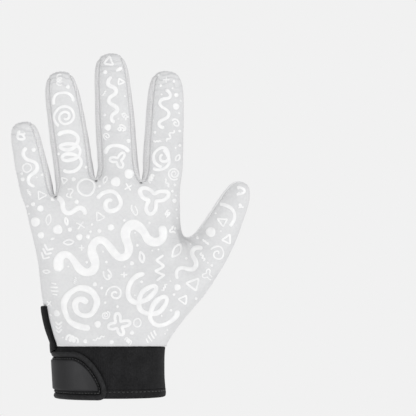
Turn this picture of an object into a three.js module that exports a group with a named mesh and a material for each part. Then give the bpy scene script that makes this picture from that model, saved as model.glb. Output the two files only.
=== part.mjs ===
// A right-hand football receiver glove in its worn shape, as an assembly of the pieces it is sewn from.
// Millimetres, +Z up the fingers, the palm faces -Y and the thumb points to +X.
// The origin is the centre of the wrist opening, at the foot of the wristband.
import * as THREE from "three";

// Cloth and seams
const FABRIC = 1; // wall of the printed palm and of the stretch back
const SEAM_GAP = 0.3; // clear space between two pieces that are sewn together
const SEAM_TURN = 0.25; // how much further the inside of a cut edge is drawn in than its outside
const GUSSET_PROUD = 2.2; // how far the black wrist gusset stands out of the white cloth
const GUSSET_WALL = 3; // its whole thickness

// Wristband
const CUFF_WIDTH = 74;
const CUFF_DEPTH = 46;
const CUFF_HEIGHT = 33;
const CUFF_WALL = 2;
const HEM_HEIGHT = 5.5;
const HEM_PROUD = 0.4; // the folded hem is this much thicker than the band on each side
const CUFF_ROUNDNESS = 2.3; // exponent of the band's superellipse

// Closure strap, laid round the little-finger side of the band
const STRAP_HEIGHT = 30.8;
const STRAP_WALL = 1.2;
const STRAP_DROP = 0.9; // how far its lower edge hangs below the hem
const STRAP_LENGTH = 92; // from the rounded tab end to the sewn end on the back
const TAB_END = 1.4; // the tab stops this far short of the middle of the palm side
const TAB_SHOULDER = 22; // length of the long curve that takes the upper edge down to the tab end
const TAB_CORNER = 6; // size of the tab's lower corner
const EDGING_WIDTH = 3.8;
const EDGING_WALL = 1.8;
const PATCH_WALL = 0.8;
const PATCH_MARGIN = 1.5; // the sewn strip between the edging and the patch
const PATCH_RISE = 0.8; // the patch's lower edge sits this much higher than that strip asks for
const PATCH_LENGTH = 60;

// Hand of the glove
const PALM_HEIGHT = 112; // top of the wristband to the foot of the middle finger
const KNUCKLE_DEPTH = 31;
const PALM_DEPTH = 36;
const WRIST_OVERHANG = 0.9; // how far the cloth stands outside the band that it is gathered into
const WEB_SLOPE = 7; // how much lower a web sits on the back than on the palm
const FINGER_CURL = 9; // how far a fingertip reaches towards the palm side
const THENAR_BULGE = 18; // how far the root of the thumb stands out sideways
const KNUCKLE_SHIFT = -5.2; // the row of fingers sits this far towards the little finger
const HAND_ROUNDNESS = 2.3; // exponent of the hand's superellipse

// Each finger: its length; its width half way along and at its foot; its depth; its lean from the
// upright and its roll about its own line, in degrees; how far its foot, and the web on its thumb
// side, lie below the foot of the middle finger
const LITTLE = {
  name: "little", length: 53.8, width: 19.6, foot: 22.2, depth: 17, lean: -11.4, roll: -11, drop: 14, web: 11.5,
};
const RING = {
  name: "ring", length: 77.8, width: 23.2, foot: 26.6, depth: 18.5, lean: -8.2, roll: 6, drop: 4.5, web: -0.5,
};
const MIDDLE = {
  name: "middle", length: 85.2, width: 23.8, foot: 29.8, depth: 19.5, lean: -3.8, roll: 4, drop: 0, web: 1.6,
};
const INDEX = {
  name: "index", length: 76.6, width: 23.8, foot: 26.6, depth: 19, lean: 2.3, roll: 12, drop: 3.5, web: 3.5,
};
const FINGERS = [LITTLE, RING, MIDDLE, INDEX];
const PANEL_SPREAD = 18; // a finger's palm and back pieces reach this many degrees further round each side

const THUMB_LENGTH = 71;
const THUMB_WIDTH = 23.6;
const THUMB_DEPTH = 22;
const THUMB_LEAN = 31;
const THUMB_ROLL = 17;
const THUMB_FORWARD = 18; // how far the thumb's tip stands in front of the palm

// Sections of a finger: shares of its length, width, depth and roll, from the web to the tip
const FINGER_SECTIONS = [
  { along: 0.08, wide: 1.08, deep: 1.06, rolled: 0.35 },
  { along: 0.34, wide: 1.06, deep: 1.02, rolled: 0.85 },
  { along: 0.6, wide: 1.0, deep: 0.97, rolled: 1 },
  { along: 0.84, wide: 0.93, deep: 0.88, rolled: 1 },
  { along: 0.965, wide: 0.69, deep: 0.62, rolled: 1 },
];

// Sections of the thumb: shares of its length along and beside its line, of its width and depth,
// of its forward reach; the turn of the section out of the thumb's own square, in degrees; and its
// share of the thumb's roll
const THUMB_SECTIONS = [
  { along: 0.07, beside: 0.03, wide: 1.66, deep: 1.5, forward: 0.3, turn: 44, rolled: 0.15 },
  { along: 0.29, beside: 0.045, wide: 1.3, deep: 1.22, forward: 0.55, turn: 25, rolled: 0.6 },
  { along: 0.54, beside: 0.028, wide: 1.04, deep: 1.0, forward: 0.8, turn: 4, rolled: 1 },
  { along: 0.76, beside: 0.009, wide: 0.88, deep: 0.86, forward: 0.93, turn: 0, rolled: 1 },
  { along: 0.93, beside: -0.01, wide: 0.59, deep: 0.57, forward: 1.0, turn: -4, rolled: 1 },
];

// Rows of the palm: share of the palm's height; spread of the little-finger side and of the thumb
// side from the wrist's edge (0) to the knuckles' edge (1); share of the thenar bulge; depth in front
// of and behind the middle of the hand, as shares of the palm's depth; extra depth of the thumb's
// muscle and of the hollow of the palm, as shares of the palm's depth; share by which the outermost
// line on the little-finger side is drawn round to that side, which narrows the gusset upwards
const PALM_ROWS = [
  {
    up: 0.12, little: 0.19, thumb: 0.1, thenar: 0.36, pinch: 0.2,
    front: 0.6, back: 0.58, muscle: 0.04, hollow: 0.02,
  },
  {
    up: 0.27, little: 0.33, thumb: 0.4, thenar: 1, pinch: 0.7,
    front: 0.53, back: 0.49, muscle: 0.15, hollow: 0.05,
  },
  {
    up: 0.46, little: 0.42, thumb: 0.6, thenar: 0.7, pinch: 0.3,
    front: 0.47, back: 0.43, muscle: 0.18, hollow: 0.08,
  },
  {
    up: 0.67, little: 0.6, thumb: 0.94, thenar: 0.06, pinch: 0,
    front: 0.43, back: 0.43, muscle: 0.06, hollow: 0.06,
  },
  {
    up: 0.85, little: 0.85, thumb: 1, thenar: 0, pinch: 0,
    front: 0.42, back: 0.45, muscle: 0, hollow: 0.02,
  },
];
const THUMB_TOP_ROW = 4; // the thumb leaves the palm's side between these two rows
const THUMB_FOOT_ROW = 2;
const GUSSET_TOP_ROW = 2; // the gusset fills the little-finger side from the band to this row

const COLUMNS = 2 * FINGERS.length + 1; // the palm's lengthwise lines, two to a finger
const SIDE_INSET = 0.045; // how far in from its sides the outermost of them lie, as a share of its width
const RING_SHRINK = (3 + Math.cos(Math.PI / 4)) / 4; // what one smoothing takes off a ring of eight
const PALM_SHRINK = 0.985; // and off a ring of the palm

const radians = THREE.MathUtils.degToRad;
const lerp = THREE.MathUtils.lerp;
const vec = (x, y, z) => new THREE.Vector3(x, y, z);

// The cage: named points and four-sided faces, each face on the panel of cloth that it is cut from
class Cage {
  constructor() {
    this.points = [];
    this.faces = [];
    this.names = new Map();
  }
  point(name, position) {
    this.names.set(name, this.points.length);
    this.points.push(position);
    return name;
  }
  at(name) {
    return this.points[this.names.get(name)];
  }
  face(panel, corners) {
    this.faces.push({ panel, corners: corners.map((name) => this.names.get(name)) });
  }
  // Faces between two rings of equally many points; panelOf names each face's panel, or null for a hole
  band(lower, upper, panelOf) {
    lower.forEach((name, k) => {
      const next = (k + 1) % lower.length;
      const panel = panelOf(k);
      if (panel) this.face(panel, [name, lower[next], upper[next], upper[k]]);
    });
  }
}

// Where the knuckles' edges, the lengthwise lines and the foot of each finger lie
const knuckleWidth = FINGERS.reduce((sum, finger) => sum + finger.foot, 0);
const knuckleLeft = KNUCKLE_SHIFT - knuckleWidth / 2;
const knuckleRight = KNUCKLE_SHIFT + knuckleWidth / 2;
const wristEdge = CUFF_WIDTH / 2 + WRIST_OVERHANG;
const palmFoot = CUFF_HEIGHT + SEAM_GAP;
const palmTop = CUFF_HEIGHT + PALM_HEIGHT;

// A lengthwise line's place across the hand, from 0 to 1, worked out from the fingers' widths
function columnShares() {
  const shares = [0];
  for (const finger of FINGERS) {
    const last = shares[shares.length - 1];
    shares.push(last + finger.foot / knuckleWidth / 2, last + finger.foot / knuckleWidth);
  }
  shares[0] += SIDE_INSET;
  shares[COLUMNS - 1] -= SIDE_INSET;
  return shares;
}
const SHARES = columnShares();

// How far below the middle finger's foot the hand's upper edge lies at each lengthwise line
function edgeDrop(column) {
  if (column === 0) return LITTLE.drop;
  const finger = FINGERS[Math.ceil(column / 2) - 1];
  return column % 2 ? finger.drop : finger.web;
}

const superellipse = (share, power) => Math.pow(Math.max(0, 1 - Math.pow(Math.abs(share), power)), 1 / power);

// One ring round the hand: nine points across the front, one at each side and nine across the back
function palmRing(cage, row, shape) {
  const middle = (shape.left + shape.right) / 2;
  const half = (shape.right - shape.left) / 2 / PALM_SHRINK;
  const level = (column) => lerp(palmFoot, palmTop - edgeDrop(column), shape.up);
  const front = [];
  const back = [];
  for (let column = 0; column < COLUMNS; column++) {
    const share = 2 * SHARES[column] - 1;
    const x = middle + half * share;
    const crown = superellipse(share, HAND_ROUNDNESS);
    const muscle = shape.muscle * Math.max(0, share) * 1.5;
    const hollow = shape.hollow * Math.cos((share * Math.PI) / 2);
    const y = -(shape.front * crown + muscle - hollow) / PALM_SHRINK;
    const behind = (shape.back * crown) / PALM_SHRINK;
    front.push(cage.point(`front.${row}.${column}`, vec(x, y, level(column))));
    back.push(cage.point(`back.${row}.${column}`, vec(x, behind, level(column))));
  }
  const right = cage.point(`right.${row}`, vec(middle + half, 0, level(COLUMNS - 1)));
  const left = cage.point(`left.${row}`, vec(middle - half, 0, level(0)));
  for (const name of [front[0], back[0]]) cage.at(name).lerp(cage.at(left), shape.pinch);
  return [...front, right, ...back.reverse(), left];
}

// The panel of each face round the palm, by its place in the ring
function palmPanel(row) {
  const gusset = row < GUSSET_TOP_ROW;
  const thumbHole = row >= THUMB_FOOT_ROW && row < THUMB_TOP_ROW;
  const lastFront = COLUMNS - 2;
  return (k) => {
    if (k <= lastFront) return "palm";
    if (k === lastFront + 1) return thumbHole ? null : "palm";
    if (k === lastFront + 2) return thumbHole ? null : "back";
    if (k <= 2 * COLUMNS - 1) return "back";
    if (k === 2 * COLUMNS) return gusset ? "gusset" : "back";
    return gusset ? "gusset" : "palm";
  };
}

function buildPalm(cage) {
  const wrist = {
    up: 0, left: -wristEdge, right: wristEdge, muscle: 0, hollow: 0, pinch: 0,
    front: CUFF_DEPTH / 2 + WRIST_OVERHANG, back: CUFF_DEPTH / 2 + WRIST_OVERHANG,
  };
  const rings = [palmRing(cage, 0, wrist)];
  PALM_ROWS.forEach((row, k) => {
    rings.push(palmRing(cage, k + 1, {
      up: row.up,
      left: lerp(-wristEdge, knuckleLeft, row.little),
      right: lerp(wristEdge, knuckleRight, row.thumb) + THENAR_BULGE * row.thenar,
      front: row.front * PALM_DEPTH, back: row.back * PALM_DEPTH,
      muscle: row.muscle * PALM_DEPTH, hollow: row.hollow * PALM_DEPTH, pinch: row.pinch,
    }));
  });
  const top = PALM_ROWS.length + 1;
  rings.push(palmRing(cage, top, {
    up: 1, left: knuckleLeft, right: knuckleRight, muscle: 0, hollow: 0, pinch: 0,
    front: KNUCKLE_DEPTH / 2, back: KNUCKLE_DEPTH / 2,
  }));
  rings.slice(1).forEach((ring, row) => cage.band(rings[row], ring, palmPanel(row)));
  return top;
}

// The hand's upper edge dips between two fingers, and has a point in the middle of each web
function shapeWebs(cage, top) {
  for (let web = 0; web < FINGERS.length - 1; web++) {
    const column = 2 * (web + 1);
    const front = cage.at(`front.${top}.${column}`);
    const back = cage.at(`back.${top}.${column}`);
    front.y *= 0.72;
    back.y *= 0.72;
    back.z -= WEB_SLOPE;
    cage.point(`web.${web}`, vec(front.x, (front.y + back.y) / 2, front.z - 0.2 * WEB_SLOPE));
  }
  for (let column = 1; column < COLUMNS; column += 2) cage.at(`back.${top}.${column}`).z -= WEB_SLOPE * 0.7;
  cage.at(`back.${top}.0`).z -= WEB_SLOPE * 0.5;
  cage.at(`back.${top}.${COLUMNS - 1}`).z -= WEB_SLOPE * 0.5;
}

// A ring of eight points in a plane: first along "side", then towards the palm side, the far side and
// the back. "roll" turns the points round the ring, and "spread" widens its palm and back quarters.
function roundRing(cage, name, centre, side, width, depth, roll = 0, spread = 0) {
  const ring = [];
  for (let k = 0; k < 8; k++) {
    const even = (k * Math.PI) / 4;
    const turn = even + radians(roll) - radians(spread) * Math.sin(2 * even);
    const place = centre.clone()
      .addScaledVector(side, (Math.cos(turn) * width) / 2 / RING_SHRINK)
      .add(vec(0, (-Math.sin(turn) * depth) / 2 / RING_SHRINK, 0));
    ring.push(cage.point(`${name}.${k}`, place));
  }
  return ring;
}

// Closes the last ring with four faces that meet at the tip
function closeTip(cage, name, ring, tip) {
  const centre = cage.point(`${name}.tip`, tip);
  for (let k = 0; k < 8; k += 2) {
    cage.face(k < 4 ? "palm" : "back", [ring[k], ring[k + 1], ring[(k + 2) % 8], centre]);
  }
}

function buildFinger(cage, top, number) {
  const finger = FINGERS[number];
  const first = 2 * number;
  const lastFinger = FINGERS.length - 1;
  const foot = [
    number === 0 ? `left.${top}` : `web.${number - 1}`,
    `front.${top}.${first}`, `front.${top}.${first + 1}`, `front.${top}.${first + 2}`,
    number === lastFinger ? `right.${top}` : `web.${number}`,
    `back.${top}.${first + 2}`, `back.${top}.${first + 1}`, `back.${top}.${first}`,
  ];
  const lean = radians(finger.lean);
  const line = vec(Math.sin(lean), 0, Math.cos(lean));
  const side = vec(-Math.cos(lean), 0, Math.sin(lean));
  const start = vec(cage.at(`front.${top}.${first + 1}`).x, 0, palmTop - finger.drop);
  const place = (along) => start.clone()
    .addScaledVector(line, along * finger.length)
    .add(vec(0, -FINGER_CURL * along * along, 0));
  const nearSide = number === 0 ? ["palm", "back"] : [`fourchette_${number - 1}`, `fourchette_${number - 1}`];
  const farSide = number === lastFinger ? ["palm", "back"] : [`fourchette_${number}`, `fourchette_${number}`];
  const panels = [nearSide[0], "palm", "palm", farSide[0], farSide[1], "back", "back", nearSide[1]];
  let ring = foot;
  FINGER_SECTIONS.forEach((section, k) => {
    const next = roundRing(
      cage, `${finger.name}.${k}`, place(section.along), side,
      section.wide * finger.width, section.deep * finger.depth,
      section.rolled * finger.roll, section.rolled * PANEL_SPREAD,
    );
    cage.band(ring, next, (n) => panels[n]);
    ring = next;
  });
  closeTip(cage, finger.name, ring, place(1.02));
}

function buildThumb(cage) {
  const middle = (THUMB_TOP_ROW + THUMB_FOOT_ROW) / 2;
  const edge = COLUMNS - 1;
  const root = [
    `right.${THUMB_TOP_ROW}`, `front.${THUMB_TOP_ROW}.${edge}`, `front.${middle}.${edge}`,
    `front.${THUMB_FOOT_ROW}.${edge}`, `right.${THUMB_FOOT_ROW}`, `back.${THUMB_FOOT_ROW}.${edge}`,
    `back.${middle}.${edge}`, `back.${THUMB_TOP_ROW}.${edge}`,
  ];
  const start = cage.at(root[0]).clone().add(cage.at(root[4])).multiplyScalar(0.5);
  const lean = radians(THUMB_LEAN);
  const line = vec(Math.sin(lean), 0, Math.cos(lean));
  const beside = vec(Math.cos(lean), 0, -Math.sin(lean));
  const place = (along, aside, forward) => start.clone()
    .addScaledVector(line, along * THUMB_LENGTH)
    .addScaledVector(beside, aside * THUMB_LENGTH)
    .add(vec(0, -forward * THUMB_FORWARD, 0));
  let ring = root;
  THUMB_SECTIONS.forEach((section, k) => {
    const turned = lean + radians(section.turn);
    const upper = vec(-Math.cos(turned), 0, Math.sin(turned));
    const next = roundRing(
      cage, `thumb.${k}`, place(section.along, section.beside, section.forward), upper,
      section.wide * THUMB_WIDTH, section.deep * THUMB_DEPTH, THUMB_ROLL * section.rolled,
    );
    cage.band(ring, next, (n) => (n < 4 ? "palm" : "back"));
    ring = next;
  });
  closeTip(cage, "thumb", ring, place(1.0, -0.01, 1.02));
}

// One step of Catmull-Clark smoothing. Each new face stays on the panel of the face that it came from.
function smooth({ points, faces }) {
  const sum = (list) => list.reduce((total, p) => total.add(p), vec(0, 0, 0));
  const mean = (list) => sum(list).divideScalar(list.length);
  const centres = faces.map((face) => mean(face.corners.map((c) => points[c])));
  const edges = new Map();
  const edgeOf = (a, b) => {
    const key = Math.min(a, b) + "," + Math.max(a, b);
    if (!edges.has(key)) edges.set(key, { a, b, faces: [] });
    return edges.get(key);
  };
  const around = points.map(() => ({ faces: [], edges: new Set() }));
  faces.forEach((face, f) => face.corners.forEach((a, k) => {
    const edge = edgeOf(a, face.corners[(k + 1) % face.corners.length]);
    edge.faces.push(f);
    around[a].faces.push(f);
    around[edge.a].edges.add(edge);
    around[edge.b].edges.add(edge);
  }));
  const made = [];
  points.forEach((p, n) => {
    const near = [...around[n].edges];
    const open = near.filter((edge) => edge.faces.length === 1);
    const midpoint = (edge) => points[edge.a].clone().lerp(points[edge.b], 0.5);
    if (open.length) {
      made.push(mean(open.map(midpoint)).lerp(p, 0.5));
      return;
    }
    const count = near.length;
    const faceMean = mean(around[n].faces.map((f) => centres[f]));
    const edgeMean = mean(near.map(midpoint));
    const pull = faceMean.addScaledVector(edgeMean, 2);
    made.push(p.clone().multiplyScalar(count - 3).add(pull).divideScalar(count));
  });
  const firstCentre = made.length;
  made.push(...centres);
  for (const edge of edges.values()) {
    edge.place = made.length;
    const ends = [points[edge.a], points[edge.b]];
    made.push(mean(edge.faces.length === 2 ? [...ends, ...edge.faces.map((f) => centres[f])] : ends));
  }
  const split = [];
  faces.forEach((face, f) => face.corners.forEach((corner, k) => {
    const next = face.corners[(k + 1) % face.corners.length];
    const previous = face.corners[(k + face.corners.length - 1) % face.corners.length];
    split.push({
      panel: face.panel,
      corners: [corner, edgeOf(corner, next).place, firstCentre + f, edgeOf(previous, corner).place],
    });
  }));
  return { points: made, faces: split };
}

function pointNormals({ points, faces }) {
  const normals = points.map(() => vec(0, 0, 0));
  for (const { corners } of faces) {
    const [a, b, c, d] = corners.map((n) => points[n]);
    const normal = c.clone().sub(a).cross(d.clone().sub(b));
    corners.forEach((n) => normals[n].add(normal));
  }
  return normals.map((normal) => normal.normalize());
}

function toGeometry(points, triangles) {
  const geometry = new THREE.BufferGeometry();
  const places = points.flatMap((p) => [p.x, p.y, p.z]);
  geometry.setAttribute("position", new THREE.Float32BufferAttribute(places, 3));
  geometry.setIndex(triangles.flat());
  geometry.computeVertexNormals();
  return geometry;
}

// Cuts one panel out of the smoothed hand and gives it its thickness. Its edge is drawn in by half a
// seam gap, square to each edge, so two panels that meet at a seam keep the same clear space all along.
function panelGeometry(skin, normals, panel, proud, wall) {
  const faces = skin.faces.filter((face) => face.panel === panel);
  const halfEdges = new Map();
  for (const { corners } of faces) {
    corners.forEach((a, k) => halfEdges.set(a + "," + corners[(k + 1) % 4], [a, corners[(k + 1) % 4]]));
  }
  const rim = [...halfEdges.values()].filter(([a, b]) => !halfEdges.has(b + "," + a));
  const inward = new Map();
  for (const [a, b] of rim) {
    const along = skin.points[b].clone().sub(skin.points[a]);
    for (const n of [a, b]) {
      const square = normals[n].clone().cross(along).normalize();
      inward.set(n, [...(inward.get(n) ?? []), square]);
    }
  }
  const used = [...new Set(faces.flatMap((face) => face.corners))];
  const order = new Map(used.map((n, k) => [n, k]));
  const layer = (lift, drawn) => used.map((n) => {
    const place = skin.points[n].clone().addScaledVector(normals[n], lift);
    const squares = inward.get(n);
    if (!squares) return place;
    const mitre = squares[0].clone().add(squares[1]).divideScalar(1 + squares[0].dot(squares[1]));
    return place.addScaledVector(mitre, drawn);
  });
  const outer = layer(proud, SEAM_GAP / 2);
  const inner = layer(proud - wall, SEAM_GAP / 2 + SEAM_TURN);
  const under = used.length;
  const triangles = [];
  for (const { corners } of faces) {
    const [a, b, c, d] = corners.map((n) => order.get(n));
    triangles.push([a, b, c], [a, c, d]);
    triangles.push([c + under, b + under, a + under], [d + under, c + under, a + under]);
  }
  for (const [a, b] of rim) {
    const [p, q] = [order.get(a), order.get(b)];
    triangles.push([q, p, p + under], [q, p + under, q + under]);
  }
  return toGeometry([...outer, ...inner], triangles);
}

// The wristband's outline: a superellipse, measured from the middle of the palm side towards the
// little finger. place(length, offset, height) is a point that far round it and that far off it.
function bandOutline(width, depth) {
  const steps = 240;
  const at = (n) => {
    const turn = (n / steps) * 2 * Math.PI;
    const bend = (v) => Math.sign(v) * Math.pow(Math.abs(v), 2 / CUFF_ROUNDNESS);
    return vec((-bend(Math.sin(turn)) * width) / 2, (-bend(Math.cos(turn)) * depth) / 2, 0);
  };
  const points = Array.from({ length: steps + 1 }, (_, n) => at(n));
  const lengths = [0];
  points.slice(1).forEach((p, n) => lengths.push(lengths[n] + p.distanceTo(points[n])));
  const normal = (n) => {
    const along = points[(n + 1) % steps].clone().sub(points[(n + steps - 1) % steps]).normalize();
    return vec(-along.y, along.x, 0);
  };
  const normals = points.map((_, n) => normal(n % steps));
  const round = lengths[steps];
  const place = (length, offset, height) => {
    const wanted = ((length % round) + round) % round;
    const after = lengths.findIndex((l) => l > wanted);
    const share = (wanted - lengths[after - 1]) / (lengths[after] - lengths[after - 1]);
    const out = normals[after - 1].clone().lerp(normals[after], share).normalize();
    return points[after - 1].clone().lerp(points[after], share).addScaledVector(out, offset).setZ(height);
  };
  return { round, place };
}
const band = bandOutline(CUFF_WIDTH, CUFF_DEPTH);

// A closed ring round the wrist, from loops of points listed up the outside and down the inside
function wristRing(profile) {
  const sides = 48;
  const points = [];
  const triangles = [];
  for (let n = 0; n < sides; n++) {
    const length = (n / sides) * band.round;
    for (const { offset, height } of profile) points.push(band.place(length, offset, height));
  }
  const rows = profile.length;
  for (let n = 0; n < sides; n++) {
    for (let k = 0; k < rows; k++) {
      const [here, next] = [n * rows, ((n + 1) % sides) * rows];
      const above = (k + 1) % rows;
      triangles.push([here + k, here + above, next + k], [next + k, here + above, next + above]);
    }
  }
  return toGeometry(points, triangles);
}

// A closed bar from equal sections, each a loop of points, with its two ends capped
function barGeometry(sections) {
  const size = sections[0].length;
  const points = sections.flat();
  const triangles = [];
  for (let n = 0; n + 1 < sections.length; n++) {
    for (let k = 0; k < size; k++) {
      const [here, next] = [n * size, (n + 1) * size];
      const after = (k + 1) % size;
      triangles.push([here + k, here + after, next + k], [next + k, here + after, next + after]);
    }
  }
  const last = (sections.length - 1) * size;
  for (let k = 1; k + 1 < size; k++) {
    triangles.push([0, k + 1, k], [last, last + k, last + k + 1]);
  }
  return toGeometry(points, triangles);
}

// The strap's outline on the flat: x runs round the band from the middle of the palm side, y is height
function strapOutline() {
  const foot = -STRAP_DROP;
  const head = foot + STRAP_HEIGHT;
  const farEnd = TAB_END + STRAP_LENGTH;
  const outline = new THREE.Path();
  outline.moveTo(farEnd, head);
  outline.lineTo(TAB_END + TAB_SHOULDER, head);
  outline.bezierCurveTo(
    TAB_END + TAB_SHOULDER * 0.45, head - STRAP_HEIGHT * 0.04,
    TAB_END, foot + TAB_CORNER + STRAP_HEIGHT * 0.2,
    TAB_END, foot + TAB_CORNER,
  );
  outline.quadraticCurveTo(TAB_END, foot, TAB_END + TAB_CORNER, foot);
  outline.lineTo(farEnd, foot);
  return outline.curves.flatMap((curve, n) => {
    const steps = curve.isLineCurve ? 14 : n === 1 ? 12 : 6;
    return curve.getPoints(steps).slice(n ? 1 : 0);
  });
}

// The same line moved towards the strap's middle, square to itself
function drawnIn(outline, distance) {
  return outline.map((p, n) => {
    const before = outline[Math.max(0, n - 1)];
    const after = outline[Math.min(outline.length - 1, n + 1)];
    const along = after.clone().sub(before).normalize();
    return new THREE.Vector2(p.x - along.y * distance, p.y + along.x * distance);
  });
}

// Height at which a line crosses a place round the band, on its upper or lower half
function crossing(line, length) {
  for (let n = 0; n + 1 < line.length; n++) {
    const [a, b] = [line[n], line[n + 1]];
    const between = (a.x - length) * (b.x - length) <= 0 && a.x !== b.x;
    if (between) return lerp(a.y, b.y, (length - a.x) / (b.x - a.x));
  }
  return line[line.length - 1].y;
}

const strapLine = strapOutline();
const strapSeat = HEM_PROUD + SEAM_GAP; // the strap clears the hem that it passes over

// The rolled edging follows the whole outline, with a low crown across its width
function edgingGeometry() {
  const inside = drawnIn(strapLine, EDGING_WIDTH);
  const sections = strapLine.map((edge, n) => {
    const place = (share, lift) => {
      const p = edge.clone().lerp(inside[n], share);
      return band.place(p.x, strapSeat + lift, p.y);
    };
    return [
      place(0, 0), place(0, EDGING_WALL * 0.6), place(0.25, EDGING_WALL),
      place(0.75, EDGING_WALL), place(1, EDGING_WALL * 0.7), place(1, 0),
    ];
  });
  return barGeometry(sections);
}

// A plate inside the edging: sections from the tab end back to its own end, each drawn from foot to head
function plateGeometry(margin, seat, wall, end, rise) {
  const inside = drawnIn(strapLine, margin);
  const turn = inside.reduce((best, p, n) => (p.x < inside[best].x ? n : best), 0);
  const upper = inside.slice(0, turn + 1);
  const lower = inside.slice(turn);
  const start = inside[turn].x;
  const stations = 26;
  const sections = [];
  for (let n = 0; n <= stations; n++) {
    const share = n / stations;
    const length = lerp(start + 0.3, end, share * share * 0.6 + share * 0.4);
    const [foot, head] = [crossing(lower, length) + rise, crossing(upper, length)];
    sections.push([
      band.place(length, seat, foot), band.place(length, seat + wall, foot),
      band.place(length, seat + wall, head), band.place(length, seat, head),
    ]);
  }
  return barGeometry(sections);
}

// Build the hand's skin
const cage = new Cage();
const top = buildPalm(cage);
shapeWebs(cage, top);
FINGERS.forEach((_, number) => buildFinger(cage, top, number));
buildThumb(cage);
const skin = smooth(cage);
const normals = pointNormals(skin);
// The cloth ends in a flat line on the band, so its lowest points face straight outwards
skin.points.forEach((p, n) => {
  if (p.z < palmFoot + SEAM_GAP) normals[n].setZ(0).normalize();
});

const material = (color, roughness) => new THREE.MeshStandardMaterial({ color, roughness, metalness: 0 });
const PRINTED_PALM = material(0xe2e2e3, 0.45);
const STRETCH_CLOTH = material(0xf0f0f1, 0.8);
const BLACK_ELASTIC = material(0x1b1b1c, 0.85);
const EDGING = material(0x232325, 0.8);
const RUBBER = material(0x333338, 0.6);

const glove = new THREE.Group();
function add(name, geometry, finish) {
  const mesh = new THREE.Mesh(geometry, finish);
  mesh.name = name;
  glove.add(mesh);
}

add("palm_panel", panelGeometry(skin, normals, "palm", 0, FABRIC), PRINTED_PALM);
add("back_panel", panelGeometry(skin, normals, "back", 0, FABRIC), STRETCH_CLOTH);
FINGERS.slice(1).forEach((finger, web) => {
  const name = `fourchette_${FINGERS[web].name}_${finger.name}`;
  add(name, panelGeometry(skin, normals, `fourchette_${web}`, 0, FABRIC), STRETCH_CLOTH);
});
add("wrist_gusset", panelGeometry(skin, normals, "gusset", GUSSET_PROUD, GUSSET_WALL), BLACK_ELASTIC);

const bandFoot = HEM_HEIGHT + SEAM_GAP;
add("wristband", wristRing([
  { offset: 0, height: bandFoot }, { offset: 0, height: CUFF_HEIGHT },
  { offset: -CUFF_WALL, height: CUFF_HEIGHT }, { offset: -CUFF_WALL, height: bandFoot },
]), BLACK_ELASTIC);
add("hem", wristRing([
  { offset: HEM_PROUD * 0.4, height: 0 }, { offset: HEM_PROUD, height: HEM_HEIGHT * 0.2 },
  { offset: HEM_PROUD, height: HEM_HEIGHT }, { offset: -CUFF_WALL - HEM_PROUD, height: HEM_HEIGHT },
  { offset: -CUFF_WALL - HEM_PROUD, height: HEM_HEIGHT * 0.2 },
  { offset: -CUFF_WALL - HEM_PROUD * 0.4, height: 0 },
]), BLACK_ELASTIC);

const strapEnd = TAB_END + STRAP_LENGTH;
add("strap", plateGeometry(EDGING_WIDTH + SEAM_GAP, strapSeat, STRAP_WALL, strapEnd, 0), BLACK_ELASTIC);
add("strap_edging", edgingGeometry(), EDGING);
add("strap_patch", plateGeometry(
  EDGING_WIDTH + PATCH_MARGIN, strapSeat + STRAP_WALL + SEAM_GAP, PATCH_WALL,
  TAB_END + PATCH_LENGTH, PATCH_RISE,
), RUBBER);

export default glove;
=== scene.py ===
# %% [markdown]
# # A football receiver glove
#
# This lesson builds one right-hand receiver glove in its worn shape: a pale tacky palm with raised
# strokes printed on it, a plain white stretch back, narrow cloth walls between the fingers, a black
# elastic wristband and a closure strap with a bare rubber patch.
#
# The object's solids were made first, in millimetres, and Blender loads them here in metres. They fix
# every size. The pieces below take their places and may not grow out of them.

import math
import random
from collections import namedtuple

import bmesh
import bpy
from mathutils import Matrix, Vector, noise
from mathutils.bvhtree import BVHTree


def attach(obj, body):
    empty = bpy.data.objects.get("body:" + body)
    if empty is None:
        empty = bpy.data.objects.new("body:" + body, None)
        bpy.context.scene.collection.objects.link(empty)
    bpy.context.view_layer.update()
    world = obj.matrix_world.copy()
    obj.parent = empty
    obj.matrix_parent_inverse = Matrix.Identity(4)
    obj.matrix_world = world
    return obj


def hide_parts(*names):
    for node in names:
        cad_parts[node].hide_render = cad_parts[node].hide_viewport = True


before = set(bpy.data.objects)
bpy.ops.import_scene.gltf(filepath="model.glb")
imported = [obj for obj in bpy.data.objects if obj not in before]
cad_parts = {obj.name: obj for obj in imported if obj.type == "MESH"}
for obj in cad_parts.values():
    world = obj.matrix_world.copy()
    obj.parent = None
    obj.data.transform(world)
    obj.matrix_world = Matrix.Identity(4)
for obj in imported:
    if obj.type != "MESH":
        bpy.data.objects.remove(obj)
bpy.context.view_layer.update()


# %% [markdown]
# ## Two habits
#
# Blender's operators act on whatever is selected, so each piece starts by deselecting everything. A
# mesh is shaped in edit mode, and points are then chosen in code by where they are, because their
# numbers change from one operator to the next.

# %% Helpers for every piece
MM = 0.001


def start_fresh():
    if bpy.context.object and bpy.context.object.mode != "OBJECT":
        bpy.ops.object.mode_set(mode="OBJECT")
    bpy.ops.object.select_all(action="DESELECT")


def only(piece):
    start_fresh()
    piece.select_set(True)
    bpy.context.view_layer.objects.active = piece
    return piece


def name_new(name):
    piece = bpy.context.object
    piece.name = piece.data.name = name
    return piece


def apply_modifier(piece, kind, **settings):
    only(piece)
    modifier = piece.modifiers.new(kind.title(), kind)
    for key, value in settings.items():
        setattr(modifier, key, value)
    bpy.ops.object.modifier_apply(modifier=modifier.name)


def key_of(place):
    return tuple(round(v * 1e6) for v in place)


def edit_mesh(piece):
    if piece.mode != "EDIT":
        only(piece)
        bpy.ops.object.mode_set(mode="EDIT")
    bpy.ops.mesh.select_mode(type="VERT")
    mesh = bmesh.from_edit_mesh(piece.data)
    mesh.verts.ensure_lookup_table()
    return mesh


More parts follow.
